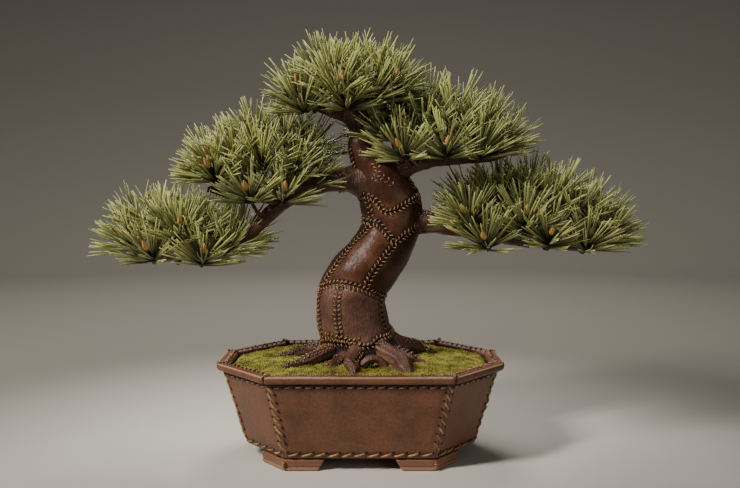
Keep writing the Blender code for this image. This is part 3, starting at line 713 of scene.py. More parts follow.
# peat and grit, kept damp: dark crumbs, painted shade in the gaps between them, and no shine
soil_mix, tree, shader = new_material("damp_granular_potting_soil", Roughness=0.9)
place = add(tree, "ShaderNodeTexCoord").outputs["Object"]
crumbs = add(tree, "ShaderNodeTexVoronoi", {"Vector": place, "Scale": 1 / (2.5 * MM)})
tone = add(tree, "ShaderNodeValToRGB", {"Fac": crumbs.outputs["Distance"]},
           ((0.0, "3a2a1c"), (1.0, "130d08")))
tree.links.new(tone.outputs["Color"], shader.inputs["Base Color"])
bump = add(tree, "ShaderNodeBump",
           {"Height": crumbs.outputs["Distance"], "Strength": 0.8, "Distance": 1.0 * MM})
tree.links.new(bump.outputs["Normal"], shader.inputs["Normal"])
soil_levels = [(height, rounded(inset(wall_outline(height), PANEL_THICK + 0.6), 3.0))
               for height in (SOIL_LOW, SOIL_LOW + 1, SOIL_TOP - 1.5, SOIL_TOP)]
keep(stacked("packed_soil", soil_levels, (0, 0), soil_mix), "potting_soil", "soil")


def gauge(x, y):
    """How far out a place is in the moss's eight-sided outline: 0 in the middle, 1 on the edge."""
    corners = octagon(MOSS_WIDTH, MOSS_DEPTH)
    total = np.zeros(np.broadcast(x, y).shape)
    for a, b in zip(corners, np.roll(corners, -1, axis=0)):
        way = unit(b - a)
        out = np.array([way[1], -way[0]])
        total = np.maximum(total, (x * out[0] + y * out[1]) / (a @ out))
    return total


def moss_height(x, y):
    """The mound: edge height plus the rise times 1 - g^2.3, with lumps 18 and 6 mm across and a round edge."""
    g = gauge(x, y)
    place = np.stack(np.broadcast_arrays(x, y, 0.0 * x), axis=-1)
    mound = MOSS_EDGE + (MOSS_CROWN - MOSS_EDGE - 2.0) * (1 - np.clip(g, 0, 1) ** 2.3)
    lumps = 0.7 * ripple(place, 18.0, 41) + 0.45 * ripple(place, 6.0, 42)
    return mound + lumps - 3.5 * np.clip((g - 0.955) / 0.045, 0, 1) ** 2


# living leaf shoots: dull yellow-green in drifts, almost without shine, and brown below the tips
moss_paint, tree, shader = new_material("living_cushion_moss", Roughness=0.85, Specular_IOR_Level=0.2)
place = add(tree, "ShaderNodeTexCoord").outputs["Object"]
patches = add(tree, "ShaderNodeTexNoise", {"Vector": place, "Scale": 1 / (14 * MM), "Detail": 4.0})
mix = add(tree, "ShaderNodeValToRGB", {"Fac": patches.outputs["Fac"]}, ((0.35, "79722a"), (0.65, "cabf58")))
tip = add(tree, "ShaderNodeAttribute", attribute_name="tip")
shoot = add(tree, "ShaderNodeMix",
            {"Factor": tip.outputs["Fac"], 6: linear("3f3216"), 7: mix.outputs["Color"]},
            data_type="RGBA")
tone = add(tree, "ShaderNodeAttribute", attribute_name="tone")
scale = add(tree, "ShaderNodeMapRange", {"Value": tone.outputs["Fac"], "To Min": 0.45, "To Max": 1.33})
final = add(tree, "ShaderNodeMix", {"Factor": 1.0, 6: shoot.outputs[2], 7: scale.outputs["Result"]},
            data_type="RGBA", blend_type="MULTIPLY")
tree.links.new(final.outputs[2], shader.inputs["Base Color"])

MOSS_SIDES = 240
MOSS_UNDER = MOSS_LOW - 0.2
angle = np.linspace(0, math.tau, MOSS_SIDES, endpoint=False)
share = 1 - (1 - np.linspace(0, 1, 70)[1:]) ** 1.15
direction = np.stack([np.cos(angle), np.sin(angle)])
reach = (1 + 0.012 * np.sin(9 * angle) + 0.008 * np.sin(23 * angle + 1)) * 0.985 / gauge(*direction)
x = share[:, None] * reach * direction[0]
y = share[:, None] * reach * direction[1]
top = np.stack([x, y, np.maximum(moss_height(x, y), MOSS_LOW)], axis=-1)
under = np.stack([x[::-1] * 0.99, y[::-1] * 0.99, np.full_like(x, MOSS_UNDER)], axis=-1)[::23]
rings = np.concatenate([top, under])
quads, caps = closed_faces(len(rings), MOSS_SIDES)
middle = moss_height(np.zeros(1), np.zeros(1))[0]
points = np.concatenate([rings.reshape(-1, 3), [[0, 0, middle], [0, 0, MOSS_UNDER]]])
ground = put_mesh("moss_cushion", points, quads, caps, moss_paint,
                  tip=np.full(len(points), 0.45), tone=np.full(len(points), 0.35))
keep(ground, "moss", "moss")

FULL_SHOOTS = 42000
MOSS_SHOOTS = FULL_SHOOTS
TRUNK_FOOT = 24
rng = np.random.default_rng(7)
x = rng.uniform(-MOSS_WIDTH, MOSS_WIDTH, MOSS_SHOOTS * 2)
y = rng.uniform(-MOSS_DEPTH, MOSS_DEPTH, MOSS_SHOOTS * 2)
inside = (gauge(x, y) < 0.985 + 0.02 * np.sin(x) * np.sin(y)) & (np.hypot(x, y) > TRUNK_FOOT)
x, y = x[inside][:MOSS_SHOOTS], y[inside][:MOSS_SHOOTS]
foot_place = np.stack([x, y, moss_height(x, y) - 0.5], axis=-1)
lean = np.stack([rng.normal(0, 0.5, len(x)), rng.normal(0, 0.5, len(x)), np.ones(len(x))], axis=-1)
lean[:, :2] += 1.2 * np.clip(gauge(x, y)[:, None] - 0.94, 0, 1) / 0.06 * unit(np.stack([x, y], axis=-1))
length = rng.uniform(1.3, 2.7, len(x))
width = rng.uniform(0.5, 0.85, len(x)) * (FULL_SHOOTS / MOSS_SHOOTS) ** 0.5
turned = rng.uniform(0, math.tau, len(x))[:, None] + np.arange(3) * math.tau / 3
spread = np.stack([np.cos(turned), np.sin(turned), 0 * turned], axis=-1)
corner = foot_place[:, None] + width[:, None, None] * spread
peak = foot_place + unit(lean) * length[:, None]
points = np.concatenate([corner, peak[:, None]], axis=1)
faces = np.array([(0, 2, 1), (0, 1, 3), (1, 2, 3), (2, 0, 3)])[None] + 4 * np.arange(len(x))[:, None, None]
tone_value = np.repeat(np.clip(rng.normal(0.45, 0.22, len(x)), 0, 1), 4)
shoots = put_mesh("moss_shoots", points, [], faces, moss_paint,
                  tip=np.tile([0.15, 0.15, 0.15, 1.0], len(x)), tone=tone_value)
keep(shoots, "moss")

# ---------------------------------------------------------------- trunk: wooden core and leather skin
# A carved wooden core is clad in soft 2 mm leather cut in pieces. The pieces meet in sewn seams: rings round
# the trunk at its bends, and lengthwise seams at the front, left and right. They puff up a little between them.

# x, y, z and radius of the trunk's axis; a place on the trunk is a station and an angle (0 right, 90 back)
TRUNK = [(3, 0, 50, 26), (2.5, 0, 72, 33), (1, 0, 90, 39), (-4, 0, 108, 34), (-8, -1.5, 128, 31.8),
         (-8.5, -3, 145, 31.6), (-1, -4, 161, 29.5), (12, -2.5, 177, 27.8), (22.5, 0, 193, 27),
         (28.5, 2.5, 212, 27.6), (27, 4, 230, 27.8), (19, 3, 249, 24.6), (9.5, 2, 264.5, 18.4),
         (0.5, 1, 279, 12), (-5, 0, 297, 7)]
LEATHER = 2.0
TRUNK_RADIUS = 30


def smooth_route(stations, steps):
    """A Catmull-Rom curve through the stations, whatever each one holds, read at STEPS places in each span."""
    points = np.array(stations, float)
    padded = np.vstack([2 * points[0] - points[1], points, 2 * points[-1] - points[-2]])
    t = (np.arange(steps) / steps)[None, :, None]
    a, b, c, d = (padded[i:len(points) - 1 + i, None] for i in range(4))
    route = 0.5 * (2 * b + (c - a) * t + (2 * a - 5 * b + 4 * c - d) * t**2 + (3 * b - a - 3 * c + d) * t**3)
    return np.vstack([route.reshape(-1, points.shape[1]), points[-1]])


def read_along(table, places, wanted):
    """Every column of a table whose rows stand at PLACES, read at the wanted places between them."""
    return np.stack([np.interp(wanted, places, column) for column in table.T], axis=-1)


trunk_route = smooth_route(TRUNK, 24)
trunk_place = np.linspace(0, len(TRUNK) - 1, len(trunk_route))


def trunk_frame(station):
    """The axis point, radius, right and back directions of the ring at each station."""
    behind, here, ahead = (read_along(trunk_route, trunk_place, station + step) for step in (-1.2, 0.0, 1.2))
    tangent = unit(ahead[..., :3] - behind[..., :3])
    right = unit(np.cross([0.0, 1.0, 0.0], tangent))
    return here[..., :3], here[..., 3], right, np.cross(tangent, right)


def trunk_skin(station, degrees, inwards=0.0):
    """Points of the skin: axis + (right cos a + back sin a) (radius - inwards), swollen by broad bumps."""
    centre, radius, right, back = trunk_frame(station)
    a = np.radians(degrees)[..., None]
    ring_way = np.cos(a) * right + np.sin(a) * back
    plain = centre + ring_way * radius[..., None]
    bumps = 0.9 * ripple(plain, 34.0, 60) + 0.45 * ripple(plain, 15.0, 61)
    return centre + ring_way * (radius + bumps - inwards)[..., None]


def grid_normals(grid):
    """Unit normals of a grid of points, from its steps along rows and columns."""
    return unit(np.cross(np.gradient(grid, axis=0), np.gradient(grid, axis=1)))


# seams as (degrees, station) where they run round the trunk, and (station, degrees) where they run along it
COLLAR = [(186, 2.94), (213, 3.09), (244, 3.04), (260, 2.89), (275, 2.72), (288, 2.64), (304, 2.82),
          (326, 2.77), (400, 2.9), (480, 2.95)]
RING_LOW = [(205, 5.13), (239, 5.5), (262, 5.65), (283, 5.75), (311, 5.75), (360, 5.6), (450, 5.2),
            (530, 5.0)]
RING_HIGH = [(228, 8.68), (238, 8.76), (251, 8.56), (262, 8.38), (278, 8.15), (287, 8.12), (297, 8.41),
             (308, 8.63), (321, 8.88), (334, 9.08), (400, 9.3), (480, 9.2), (560, 8.8)]
ARC = [(223, 10.77), (237, 10.55), (245, 10.2), (250, 9.85), (256, 9.5), (272, 9.52), (287, 9.65),
       (304, 9.82), (340, 10.0), (400, 10.4), (480, 10.8), (550, 10.85)]
TRUNK_TOP = [(0, 13.75)]
LEFT_LOW = [(2.9, 206), (3.6, 205), (4.33, 204), (4.81, 202), (5.3, 205)]
FRONT_LOW = [(2.9, 246), (3.5, 247), (4.03, 247), (4.71, 248), (5.7, 244)]
RIGHT_LOW = [(2.7, 330), (3.3, 328), (3.8, 328), (5.0, 332), (5.8, 334)]
LEFT_MIDDLE = [(5.1, 206), (5.9, 211), (6.52, 211), (7.19, 208), (7.94, 216), (8.7, 230)]
RIGHT_MIDDLE = [(5.7, 286), (6.2, 283), (6.62, 280), (7.31, 280), (7.99, 285), (8.3, 288)]
COLLAR_RIGHT = [(8.9, 334), (10.2, 338)]
COLLAR_LEFT = [(8.5, 230), (10.9, 222)]
TOP_RIGHT = [(9.8, 338), (11, 342), (12.4, 346), (13.8, 350)]
TOP_LEFT = [(10.5, 222), (11.5, 214), (13.8, 205)]


def seam_line(places, wanted, around=False):
    """Read a seam smoothly at the wanted places; a seam AROUND the trunk repeats every 360 degrees."""
    table = np.array(places, float)
    if around:
        table = np.vstack([table - [360, 0], table, table + [360, 0]])
    fine = smooth_route(table, 12) if len(table) > 1 else table
    return np.interp(wanted, fine[:, 0], fine[:, 1])


# soft hide, rolled and burnished: almost black-brown in the folds, where the crease mark also paints shade,
# with narrow bright lights on the turns
trunk_leather = leather("burnished_dark_brown_garment_leather", "301d14", "523224", "6b4230", "a07a5c",
                        1.5, 0.33, 0.3, 0.22, 0.17)
# the same hide pulled tight while wet: paler, duller, and drawn into fine lengthwise creases
stretched_leather = leather("stretched_dark_brown_garment_leather", "3a261b", "634234", "7a5440", "9f735a",
                            1.3, 0.42, 1.0)


def trunk_patch(name, left, right, turns, low, high, nodes, seed, streaks=0.0, material=trunk_leather,
                dark=0.0):
    """One leather piece of the trunk between two lengthwise seams (RIGHT moved on by TURNS x 360 degrees) and
    two ring seams. Each place is found by stepping between the seams, first across and then along; the skin
    then swells away from the edges, puckers every 5 mm along them, and carries fine creases, STREAKS mm deep.
    The colour is darkened along the seams and in the fine creases as painted shade. DARK darkens the
    whole piece as painted shade, deepest on the pieces at the back; below 0, it rubs the piece paler."""
    low_middle, high_middle = (np.mean([place[1] for place in seam]) for seam in (low, high))
    station = np.full((1, 1), (low_middle + high_middle) / 2)
    ends = trunk_frame(np.array([low_middle, high_middle]))[0]
    span = np.linalg.norm(ends[1] - ends[0])
    widest = seam_line(right, station[0, 0]) + 360 * turns - seam_line(left, station[0, 0])
    pitch = 1.05
    u = crowded(math.radians(widest) * TRUNK_RADIUS, pitch, 1.3)[:, None]
    v = crowded(span, pitch, 1.3)[None, :]
    for _ in range(4):
        degrees = seam_line(left, station) * (1 - u) + (seam_line(right, station) + 360 * turns) * u
        station = seam_line(low, degrees, True) * (1 - v) + seam_line(high, degrees, True) * v
    skin = trunk_skin(station, degrees, LEATHER / 2)
    away = edge_distance(skin)
    run = skin @ np.array([0.6, 0.35, 0.9])
    puckers = 0.32 * np.exp(-away / 3.5) * np.sin(run * math.tau / 5.0 + 2 * ripple(skin, 12.0, seed))
    swell = 1.3 * (1 - np.exp(-away / 4.5)) - 0.9 - 0.7 * hump(away, 2.7, 1.0)
    lines = np.sin(degrees * 3.1 + 4 * ripple(skin, 30.0, seed + 1)) + np.sin(degrees * 6.7 - station * 3)
    fine = 0.10 * ripple(skin, 3.2, seed + 2) + streaks * lines * (1 - np.exp(-away / 5))
    # painted shade along the seams, beside them and in the fine creases, with some random cloudiness; DARK
    # paints shade into the whole piece
    crease = np.clip(0.9 * np.exp(-away / 1.1) + 0.15 * hump(away, 2.7, 1.2) + 0.12 * ripple(skin, 9.0, 8)
                     - 0.8 * streaks * lines + max(dark, 0), 0, 1)
    wear = np.clip(0.10 * hump(away, 5, 2) + 0.10 * ripple(skin, 11.0, seed + 3) - 0.02 - min(dark, 0), 0, 1)
    piece = sheet_piece(name, skin, grid_normals(skin), LEATHER, 1.3, material,
                        lift=(swell + puckers + fine) * np.clip(away / 1.5, 0, 1), crease=crease, wear=wear)
    return keep(piece, "trunk_leather", *nodes)


# DARK paints shade into the pieces, deepest on those at the back
trunk_patch("trunk_leather_low_left", LEFT_LOW, FRONT_LOW, 0, COLLAR, RING_LOW,
            ["trunk_leather_lower_left"], 70, 0.04, stretched_leather)
trunk_patch("trunk_leather_low_front", FRONT_LOW, RIGHT_LOW, 0, COLLAR, RING_LOW,
            ["trunk_leather_lower_front"], 74, 0.09, stretched_leather, -0.12)
trunk_patch("trunk_leather_low_back", RIGHT_LOW, LEFT_LOW, 1, COLLAR, RING_LOW,
            ["trunk_leather_lower_back"], 78, 0.04, stretched_leather)
trunk_patch("trunk_leather_bend_front", LEFT_MIDDLE, RIGHT_MIDDLE, 0, RING_LOW, RING_HIGH,
            ["trunk_leather_middle_front"], 82, 0.02)
trunk_patch("trunk_leather_bend_back", RIGHT_MIDDLE, LEFT_MIDDLE, 1, RING_LOW, RING_HIGH,
            ["trunk_leather_middle_back"], 86, 0.04, dark=0.55)
trunk_patch("trunk_leather_band_front", COLLAR_LEFT, COLLAR_RIGHT, 0, RING_HIGH, ARC, [], 90, 0.03, dark=0.15)
trunk_patch("trunk_leather_band_back", COLLAR_RIGHT, COLLAR_LEFT, 1, RING_HIGH, ARC, [], 94, 0.04, dark=0.4)
trunk_patch("trunk_leather_top_front", TOP_LEFT, TOP_RIGHT, 0, ARC, TRUNK_TOP,
            ["trunk_leather_upper_front"], 98, 0.03, dark=0.2)
trunk_patch("trunk_leather_top_back", TOP_RIGHT, TOP_LEFT, 1, ARC, TRUNK_TOP,
            ["trunk_leather_upper_back"], 102, 0.04, dark=0.3)


def ring_solid(name, rings, material, **marks):
    """A solid from rings of points (rows x columns x 3), closed on the middles of its first and last rings."""
    quads, caps = closed_faces(*rings.shape[:2])
    points = np.concatenate([rings.reshape(-1, 3), [rings[0].mean(axis=0), rings[-1].mean(axis=0)]])
    values = {key: np.append(value.ravel(), [value[0].mean(), value[-1].mean()])
              for key, value in marks.items()}
    return put_mesh(name, points, quads, caps, material, **values)


# pale hardwood shaped with a gouge; its colour is near black as painted shade, so that nothing light shows
# through the seams and the hollows between the roots look dark
core_wood, tree, shader = new_material("carved_limewood", Roughness=0.7)
place = add(tree, "ShaderNodeTexCoord").outputs["Object"]
growth = add(tree, "ShaderNodeTexWave", {"Vector": place, "Scale": 1 / (30 * MM), "Distortion": 3.0})
tone = add(tree, "ShaderNodeValToRGB", {"Fac": growth.outputs["Fac"]}, ((0.0, "1a110b"), (1.0, "241810")))
tree.links.new(tone.outputs["Color"], shader.inputs["Base Color"])
CORE_DEPTH = LEATHER + 2.2
core_station, core_degrees = np.meshgrid(np.linspace(0.25, 13.5, 90), np.arange(64) * 360 / 64, indexing="ij")
core_rings = trunk_skin(core_station, core_degrees, CORE_DEPTH)
keep(ring_solid("trunk_core_wood", core_rings[::-1], core_wood), "core_wood", "trunk_core")

# ---------------------------------------------------------------- trunk: seam stitches
# Each seam is laced like a ball: two rows of short strokes of the same tan thread, slanting away from the
# groove to holes about 4 mm either side of it.


def along_route(points, pitch):
    """Read a route of points at even steps of PITCH."""
    run = np.concatenate([[0], np.cumsum(np.linalg.norm(np.diff(points, axis=0), axis=1))])
    count = max(int(run[-1] / pitch), 1)
    return read_along(points, run, (np.arange(count) + 0.5) * run[-1] / count)


def seam_strokes(centre, normal, reach=3.6, skew=2.2, gap=0.5):
    """Two strokes for each place on a seam: from GAP beside it to REACH out and SKEW on, on either side."""
    way = unit(np.gradient(centre, axis=0))
    side = unit(np.cross(normal, way))
    onward = way * skew - normal * (reach**2 / 60)
    starts = np.concatenate([centre + side * gap, centre - side * gap])
    ends = np.concatenate([centre + side * reach + onward, centre - side * reach + onward])
    return starts, ends, np.concatenate([normal, normal])


def trunk_seam(places, around, first, last):
    """Stitch places and normals along a seam of the trunk between two of its own coordinates."""
    wanted = np.linspace(first, last, 200)
    read = seam_line(places, wanted, around)
    # stations end at 14, so a seam that starts above 20 is given in degrees
    station, degrees = (read, wanted) if first > 20 else (wanted, read)
    points = trunk_skin(station, degrees)
    onward = trunk_skin(station, degrees + 1) - points
    upward = trunk_skin(station + 0.03, degrees) - points
    normal = unit(np.cross(onward, upward))
    both = along_route(np.hstack([points, normal]), 4.0)
    return both[:, :3] + 0.35 * both[:, 3:], unit(both[:, 3:])


SHORT_HIGH = [(11.22, 253), (11.37, 261), (11.66, 278), (12.09, 283)]
SHORT_LOW = [(10.6, 290), (10.94, 285), (11.32, 276)]
COLLAR_SECOND = [(214, 3.42), (232, 3.36), (250, 3.2), (264, 3.02), (276, 2.98)]
# each seam's curve, whether it goes all round, and where its stitches begin and end
SEAMS = [(COLLAR, True, 190, 545), (COLLAR_SECOND, False, 214, 276), (RING_LOW, True, 200, 558),
         (RING_HIGH, True, 230, 588), (ARC, True, 223, 582), (LEFT_LOW, False, 3.2, 5.1),
         (FRONT_LOW, False, 3.2, 5.4), (RIGHT_LOW, False, 2.95, 5.6), (LEFT_MIDDLE, False, 5.3, 8.55),
         (RIGHT_MIDDLE, False, 5.9, 8.0), (COLLAR_RIGHT, False, 9.25, 9.8), (COLLAR_LEFT, False, 8.9, 10.5),
         (TOP_RIGHT, False, 10.2, 13.3), (TOP_LEFT, False, 11.0, 13.3), (SHORT_HIGH, False, 11.22, 12.09),
         (SHORT_LOW, False, 10.6, 11.32)]
strokes = [seam_strokes(*trunk_seam(*seam)) for seam in SEAMS]
starts, ends, normals = map(np.concatenate, zip(*strokes))
keep(stitches("trunk_seam_thread", starts, ends, normals, 0.58, 0.5, thread), "lacing_thread")
holes = awl_holes("trunk_seam_holes", ends + (ends - starts) * 0.08, normals, 0.48, hole_dark)
keep(holes, "trunk_leather")

# ---------------------------------------------------------------- roots
# Nine leather sleeves over wooden roots flare from the trunk's foot and dive into the moss, and a thin tenth
# one loops out of it. Each of the nine is closed along its upper side by two rows of slanting stitches.


def limb_surface(route, share, angle):
    """Points and normals of a limb's plain surface: its route (x, y, z, r) with a circle across it.

    share runs 0 to 1 along the route; angle 0 is to the right looking along it and a quarter turn is up."""
    place = np.linspace(0, 1, len(route))
    behind, here, ahead = (read_along(route, place, np.clip(share + step, 0, 1))
                           for step in (-0.04, 0.0, 0.04))
    way = unit(ahead[..., :3] - behind[..., :3])
    right = unit(np.cross(way, [0.0, 0.0, 1.0]))
    out = np.cos(angle)[..., None] * right + np.sin(angle)[..., None] * np.cross(right, way)
    return here[..., :3] + out * here[..., 3:], out


def limb(name, route, seed, lumps, nodes, seam=60.0, rows=110, columns=48, dark=0.0):
    """A leather-covered limb: its plain surface with lumps of LUMPS mm, fine lengthwise creases and a groove
    under its seam, which runs along it at the angle SEAM in degrees. Painted shade darkens the groove and the
    hollows between the lumps; DARK darkens the whole limb."""
    around = np.arange(columns) * math.tau / columns
    share, angle = np.meshgrid(np.linspace(0, 1, rows), around, indexing="ij")
    skin, out = limb_surface(route, share, angle)
    radius = np.interp(share, np.linspace(0, 1, len(route)), route[:, 3])
    creases = ripple(skin, 9.0, seed) * 0.5 + ripple(skin, 22.0, seed + 1)
    gap = np.abs(np.angle(np.exp(1j * (angle - math.radians(seam))))) * radius
    groove = hump(gap, 0, 1.4)
    grain = 0.06 * radius * np.sin(angle * 5 + 3 * ripple(skin, 20.0, seed + 2))
    rise = lumps * creases + grain - 0.8 * groove + 0.12 * ripple(skin, 3.0, seed + 3)
    # painted shade in the seam's groove and the hollows between the lumps
    crease = np.clip(0.75 * groove + 0.25 * np.clip(-creases, 0, 1) + dark, 0, 1)
    wear = np.clip(0.12 * creases, 0, 0.3)
    piece = ring_solid(name, skin + out * rise[..., None], stretched_leather, crease=crease, wear=wear)
    return keep(piece, "trunk_leather", *nodes)


def limb_strokes(route, share, angle, pitch, lift, *stroke):
    """Seam strokes every PITCH along a line on a limb, LIFT above it; STROKE is their reach, skew and gap."""
    both = along_route(np.hstack(limb_surface(route, share, angle)), pitch)
    normal = unit(both[:, 3:])
    return seam_strokes(both[:, :3] + lift * normal, normal, *stroke)


# direction in degrees, how far it reaches from the trunk's foot, its thick and thin radius, its seam's side,
# and how much lower than the rest it leaves the trunk
ROOTS = {"root_front": (262, 60, 7.5, 4.6, 150, 0), "root_right_front": (307, 66, 9.5, 7.0, 170, 0),
         "root_right_slim": (335, 60, 4.5, 2.4, 90, 0), "root_right_rear": (17, 70, 9, 3.6, 60, 0),
         "root_back_right": (65, 62, 8.5, 3.6, 90, 0), "root_back_left": (115, 60, 8.5, 3.4, 90, 0),
         "root_left_rear": (175, 77, 6.2, 2.6, 125, 1), "root_left_front": (214, 78, 6.8, 3.0, 120, 0),
         "root_front_stub": (240, 54, 6.0, 4.4, 60, 6)}
strokes = []
for number, (name, (degrees, reach, thick, thin, seam, drop)) in enumerate(ROOTS.items()):
    way = np.array([math.cos(math.radians(degrees)), math.sin(math.radians(degrees))])
    side = np.array([-way[1], way[0]])
    bend = -2.5 * (-1) ** number
    # distance out, height, radius and how much of the bend, from inside the trunk's foot to under the moss
    outline = ((16, 104, thick, 0), (27, 99, thick * 1.08, 0), (36, 94.5, thick * 1.02, 0.3),
               (0.5 * reach + 20, 90.5, thick * 0.85, 1), (0.82 * reach + 4, 88.0, thin * 1.25, 0.6),
               (reach, 85.8, thin, -0.6), (reach + 7, 82.0, thin * 0.6, -1.0))
    stations = []
    for out, height, radius, sway in outline:
        x, y = np.array([1.0, 0.0]) + way * out + side * bend * sway
        stations.append((x, y, height - drop, radius))
    route = smooth_route(stations, 12)
    limb(name + "_leather", route, 120 + 5 * number, 0.3, [name], seam)
    share = np.linspace(0.30, 0.86, 60)
    strokes.append(limb_strokes(route, share, np.full(60, math.radians(seam)), 4.0, 0.2, 2.4, 1.7, 0.3))
starts, ends, normals = map(np.concatenate, zip(*strokes))
keep(stitches("root_seam_thread", starts, ends, normals, 0.52, 0.45, thread), "lacing_thread")
holes = awl_holes("root_seam_holes", ends + (ends - starts) * 0.08, normals, 0.58, hole_dark)
keep(holes, "trunk_leather")
# the thin root stands between the front root and the right front one
loop = smooth_route([(-2, -44, 80, 3.6), (1, -47, 87, 3.6), (7, -47, 92.5, 3.4), (14, -45, 93, 3.4),
                     (20, -45, 89, 3.4), (24, -46, 82, 3.4)], 12)
limb("root_loop_leather", loop, 170, 0.4, [], 90)

# ---------------------------------------------------------------- branches
# Each branch is a tapering sleeve of the trunk's leather over wire and wood, sewn along its top. Three of the
# four have a stitched cuff near the trunk.

BRANCHES = {
    "branch_left": [
        [(8, 0, 249, 16), (-6, -1, 251, 13.5), (-18, -4, 251.5, 11), (-39, -8, 247, 9), (-62, -12, 236, 7.5),
         (-81, -12, 222, 6.5), (-98, -10, 206, 6), (-121, -8, 194, 5.5), (-149, -8, 186, 5),
         (-174, -10, 181, 4), (-193, -12, 179, 3)],
        [(-36, -8, 247, 6.5), (-52, -10, 242, 6), (-68, -12, 238, 5.5), (-92, -10, 236, 5),
         (-118, -8, 238, 4), (-140, -8, 243, 3)]],
    "branch_right_lower": [
        [(30, 1, 211, 16), (44, 0, 212, 14), (58, -2, 212.5, 11), (74, -6, 211, 8.8), (92, -10, 207, 7.4),
         (118, -12, 201, 6.2), (145, -12, 196, 5.4), (173, -10, 192, 4.4), (204, -8, 189, 3)]],
    "branch_right_upper": [
        [(18, 2, 249, 12), (37, -4, 260, 8.4), (55, -8, 267, 6.8), (82, -10, 270, 5.8), (110, -10, 271, 4.6),
         (132, -8, 274, 3)]],
    "branch_crown": [
        [(-4, 0, 292, 7), (-5, 0, 299.5, 6.8), (-11, -4, 307, 5.6), (-27, -9, 313, 4.6), (-45, -11, 319, 3.6),
         (-62, -12, 327, 3)],
        [(-5, 0, 297, 6.5), (-7, -4, 312, 5), (-10, -7, 326, 3.8), (-12, -8, 338, 3)],
        [(-5, 0, 298, 6.2), (4, -3, 312, 5), (17, -5, 325, 4), (32, -6, 335, 3)]]}
# how far along its branch each stitched cuff sits
CUFFS = {"branch_left": 0.2, "branch_right_lower": 0.17, "branch_right_upper": 0.12}
BRANCH_DARK = 0.42
strokes = []
branch_axes = []
for number, (name, runs) in enumerate(BRANCHES.items()):
    for fork, stations in enumerate(runs):
        route = smooth_route(stations, 14)
        branch_axes.append(route[len(route) // 4:, :3])
        if name == "branch_crown" and fork > 0:
            # a shoot that climbs steeply leans a little more to the right the higher it goes
            route[:, 0] += 0.01 * np.arange(len(route))
        limb(f"{name}_{fork + 1}_leather", route, 180 + 7 * number + fork, 0.35, [] if fork else [name], 60,
             130, 32, BRANCH_DARK)
        share = np.linspace(0.12, 0.75, 90)
        strokes.append(limb_strokes(route, share, np.full(90, math.radians(60)), 4.0, 0.2, 2.0, 1.6, 0.3))
        if fork == 0 and name in CUFFS:
            turn = np.linspace(0, math.tau, 60)
            strokes.append(limb_strokes(route, np.full(60, CUFFS[name]), turn, 3.8, 0.5, 3.2, 1.8, 0.4))
starts, ends, normals = map(np.concatenate, zip(*strokes))
keep(stitches("branch_seam_thread", starts, ends, normals, 0.5, 0.4, thread), "lacing_thread")

# ---------------------------------------------------------------- foliage
# Five pads of pine shoots. Each shoot is a rough red-brown twig that ends in a tuft of some twenty bundles of
# five needles; shoots that face outwards carry a pointed orange-brown winter bud in front of the tuft.

# where the tufts of each pad spring from: the plain ones, and then those with a bud that shows
TUFTS = {
    "needles_crown": (
        [(-51, -20, 309), (-11, -32, 311), (9, -26, 319), (30, -8, 320), (-33, 0, 343), (-8, 4, 347),
         (-25, 28, 332), (4, 36, 338), (26, 28, 331), (-47, 34, 324)],
        [(-56, 8, 325), (14, -6, 342), (-19, -36, 325), (-25, -10, 343), (27, -14, 333)]),
    "needles_left_upper": (
        [(-114, -12, 267), (-88, -22, 263), (-60, -18, 258), (-43, -6, 246), (-110, 5, 278), (-97, 6, 291),
         (-71, 8, 287), (-50, 18, 280), (-130, 32, 254), (-112, 38, 273), (-83, 38, 271), (-54, 36, 266)],
        [(-97, -34, 228), (-69, -30, 228), (-131, -22, 251), (-138, 0, 250), (-134, -8, 262)]),
    "needles_left_lower": (
        [(-164, -20, 196), (-187, 0, 209), (-144, -5, 202), (-120, -22, 186), (-113, 5, 195), (-211, 20, 208),
         (-178, 26, 211), (-151, 32, 205), (-219, 24, 184), (-122, 32, 188), (-174, 32, 178)],
        [(-187, -26, 177), (-140, -36, 175), (-210, -6, 189), (-161, -24, 203)]),
    "needles_right_upper": (
        [(106, -30, 269), (27, -10, 289), (58, -16, 294), (85, -16, 298), (110, -8, 292), (38, 10, 311),
         (64, 5, 316), (90, 8, 316), (115, 14, 299), (132, 10, 282), (18, 22, 291), (49, 36, 295),
         (81, 40, 295), (110, 34, 287)],
        [(39, -36, 268), (76, -38, 269), (123, -8, 274)]),
    "needles_right_lower": (
        [(148, -22, 201), (203, -30, 187), (101, -16, 213), (102, 6, 230), (124, -4, 228), (147, -4, 233),
         (172, -8, 226), (197, -10, 215), (223, 2, 205), (131, 14, 242), (159, 14, 244), (186, 14, 237),
         (214, 22, 221), (115, 36, 218), (149, 36, 222), (184, 38, 217), (214, 32, 207), (229, 18, 192)],
        [(111, -40, 189), (168, -36, 192), (224, -8, 193), (147, -34, 210), (98, -26, 213)])}

# living needles: a satin green with pale margins, lightest at the very tip and darker towards the base, near
# black there as painted shade deep in the tuft
needle_green, tree, shader = new_material("five_needle_pine_needles", Roughness=0.42, Specular_IOR_Level=0.4)
length_mark = add(tree, "ShaderNodeAttribute", attribute_name="along")
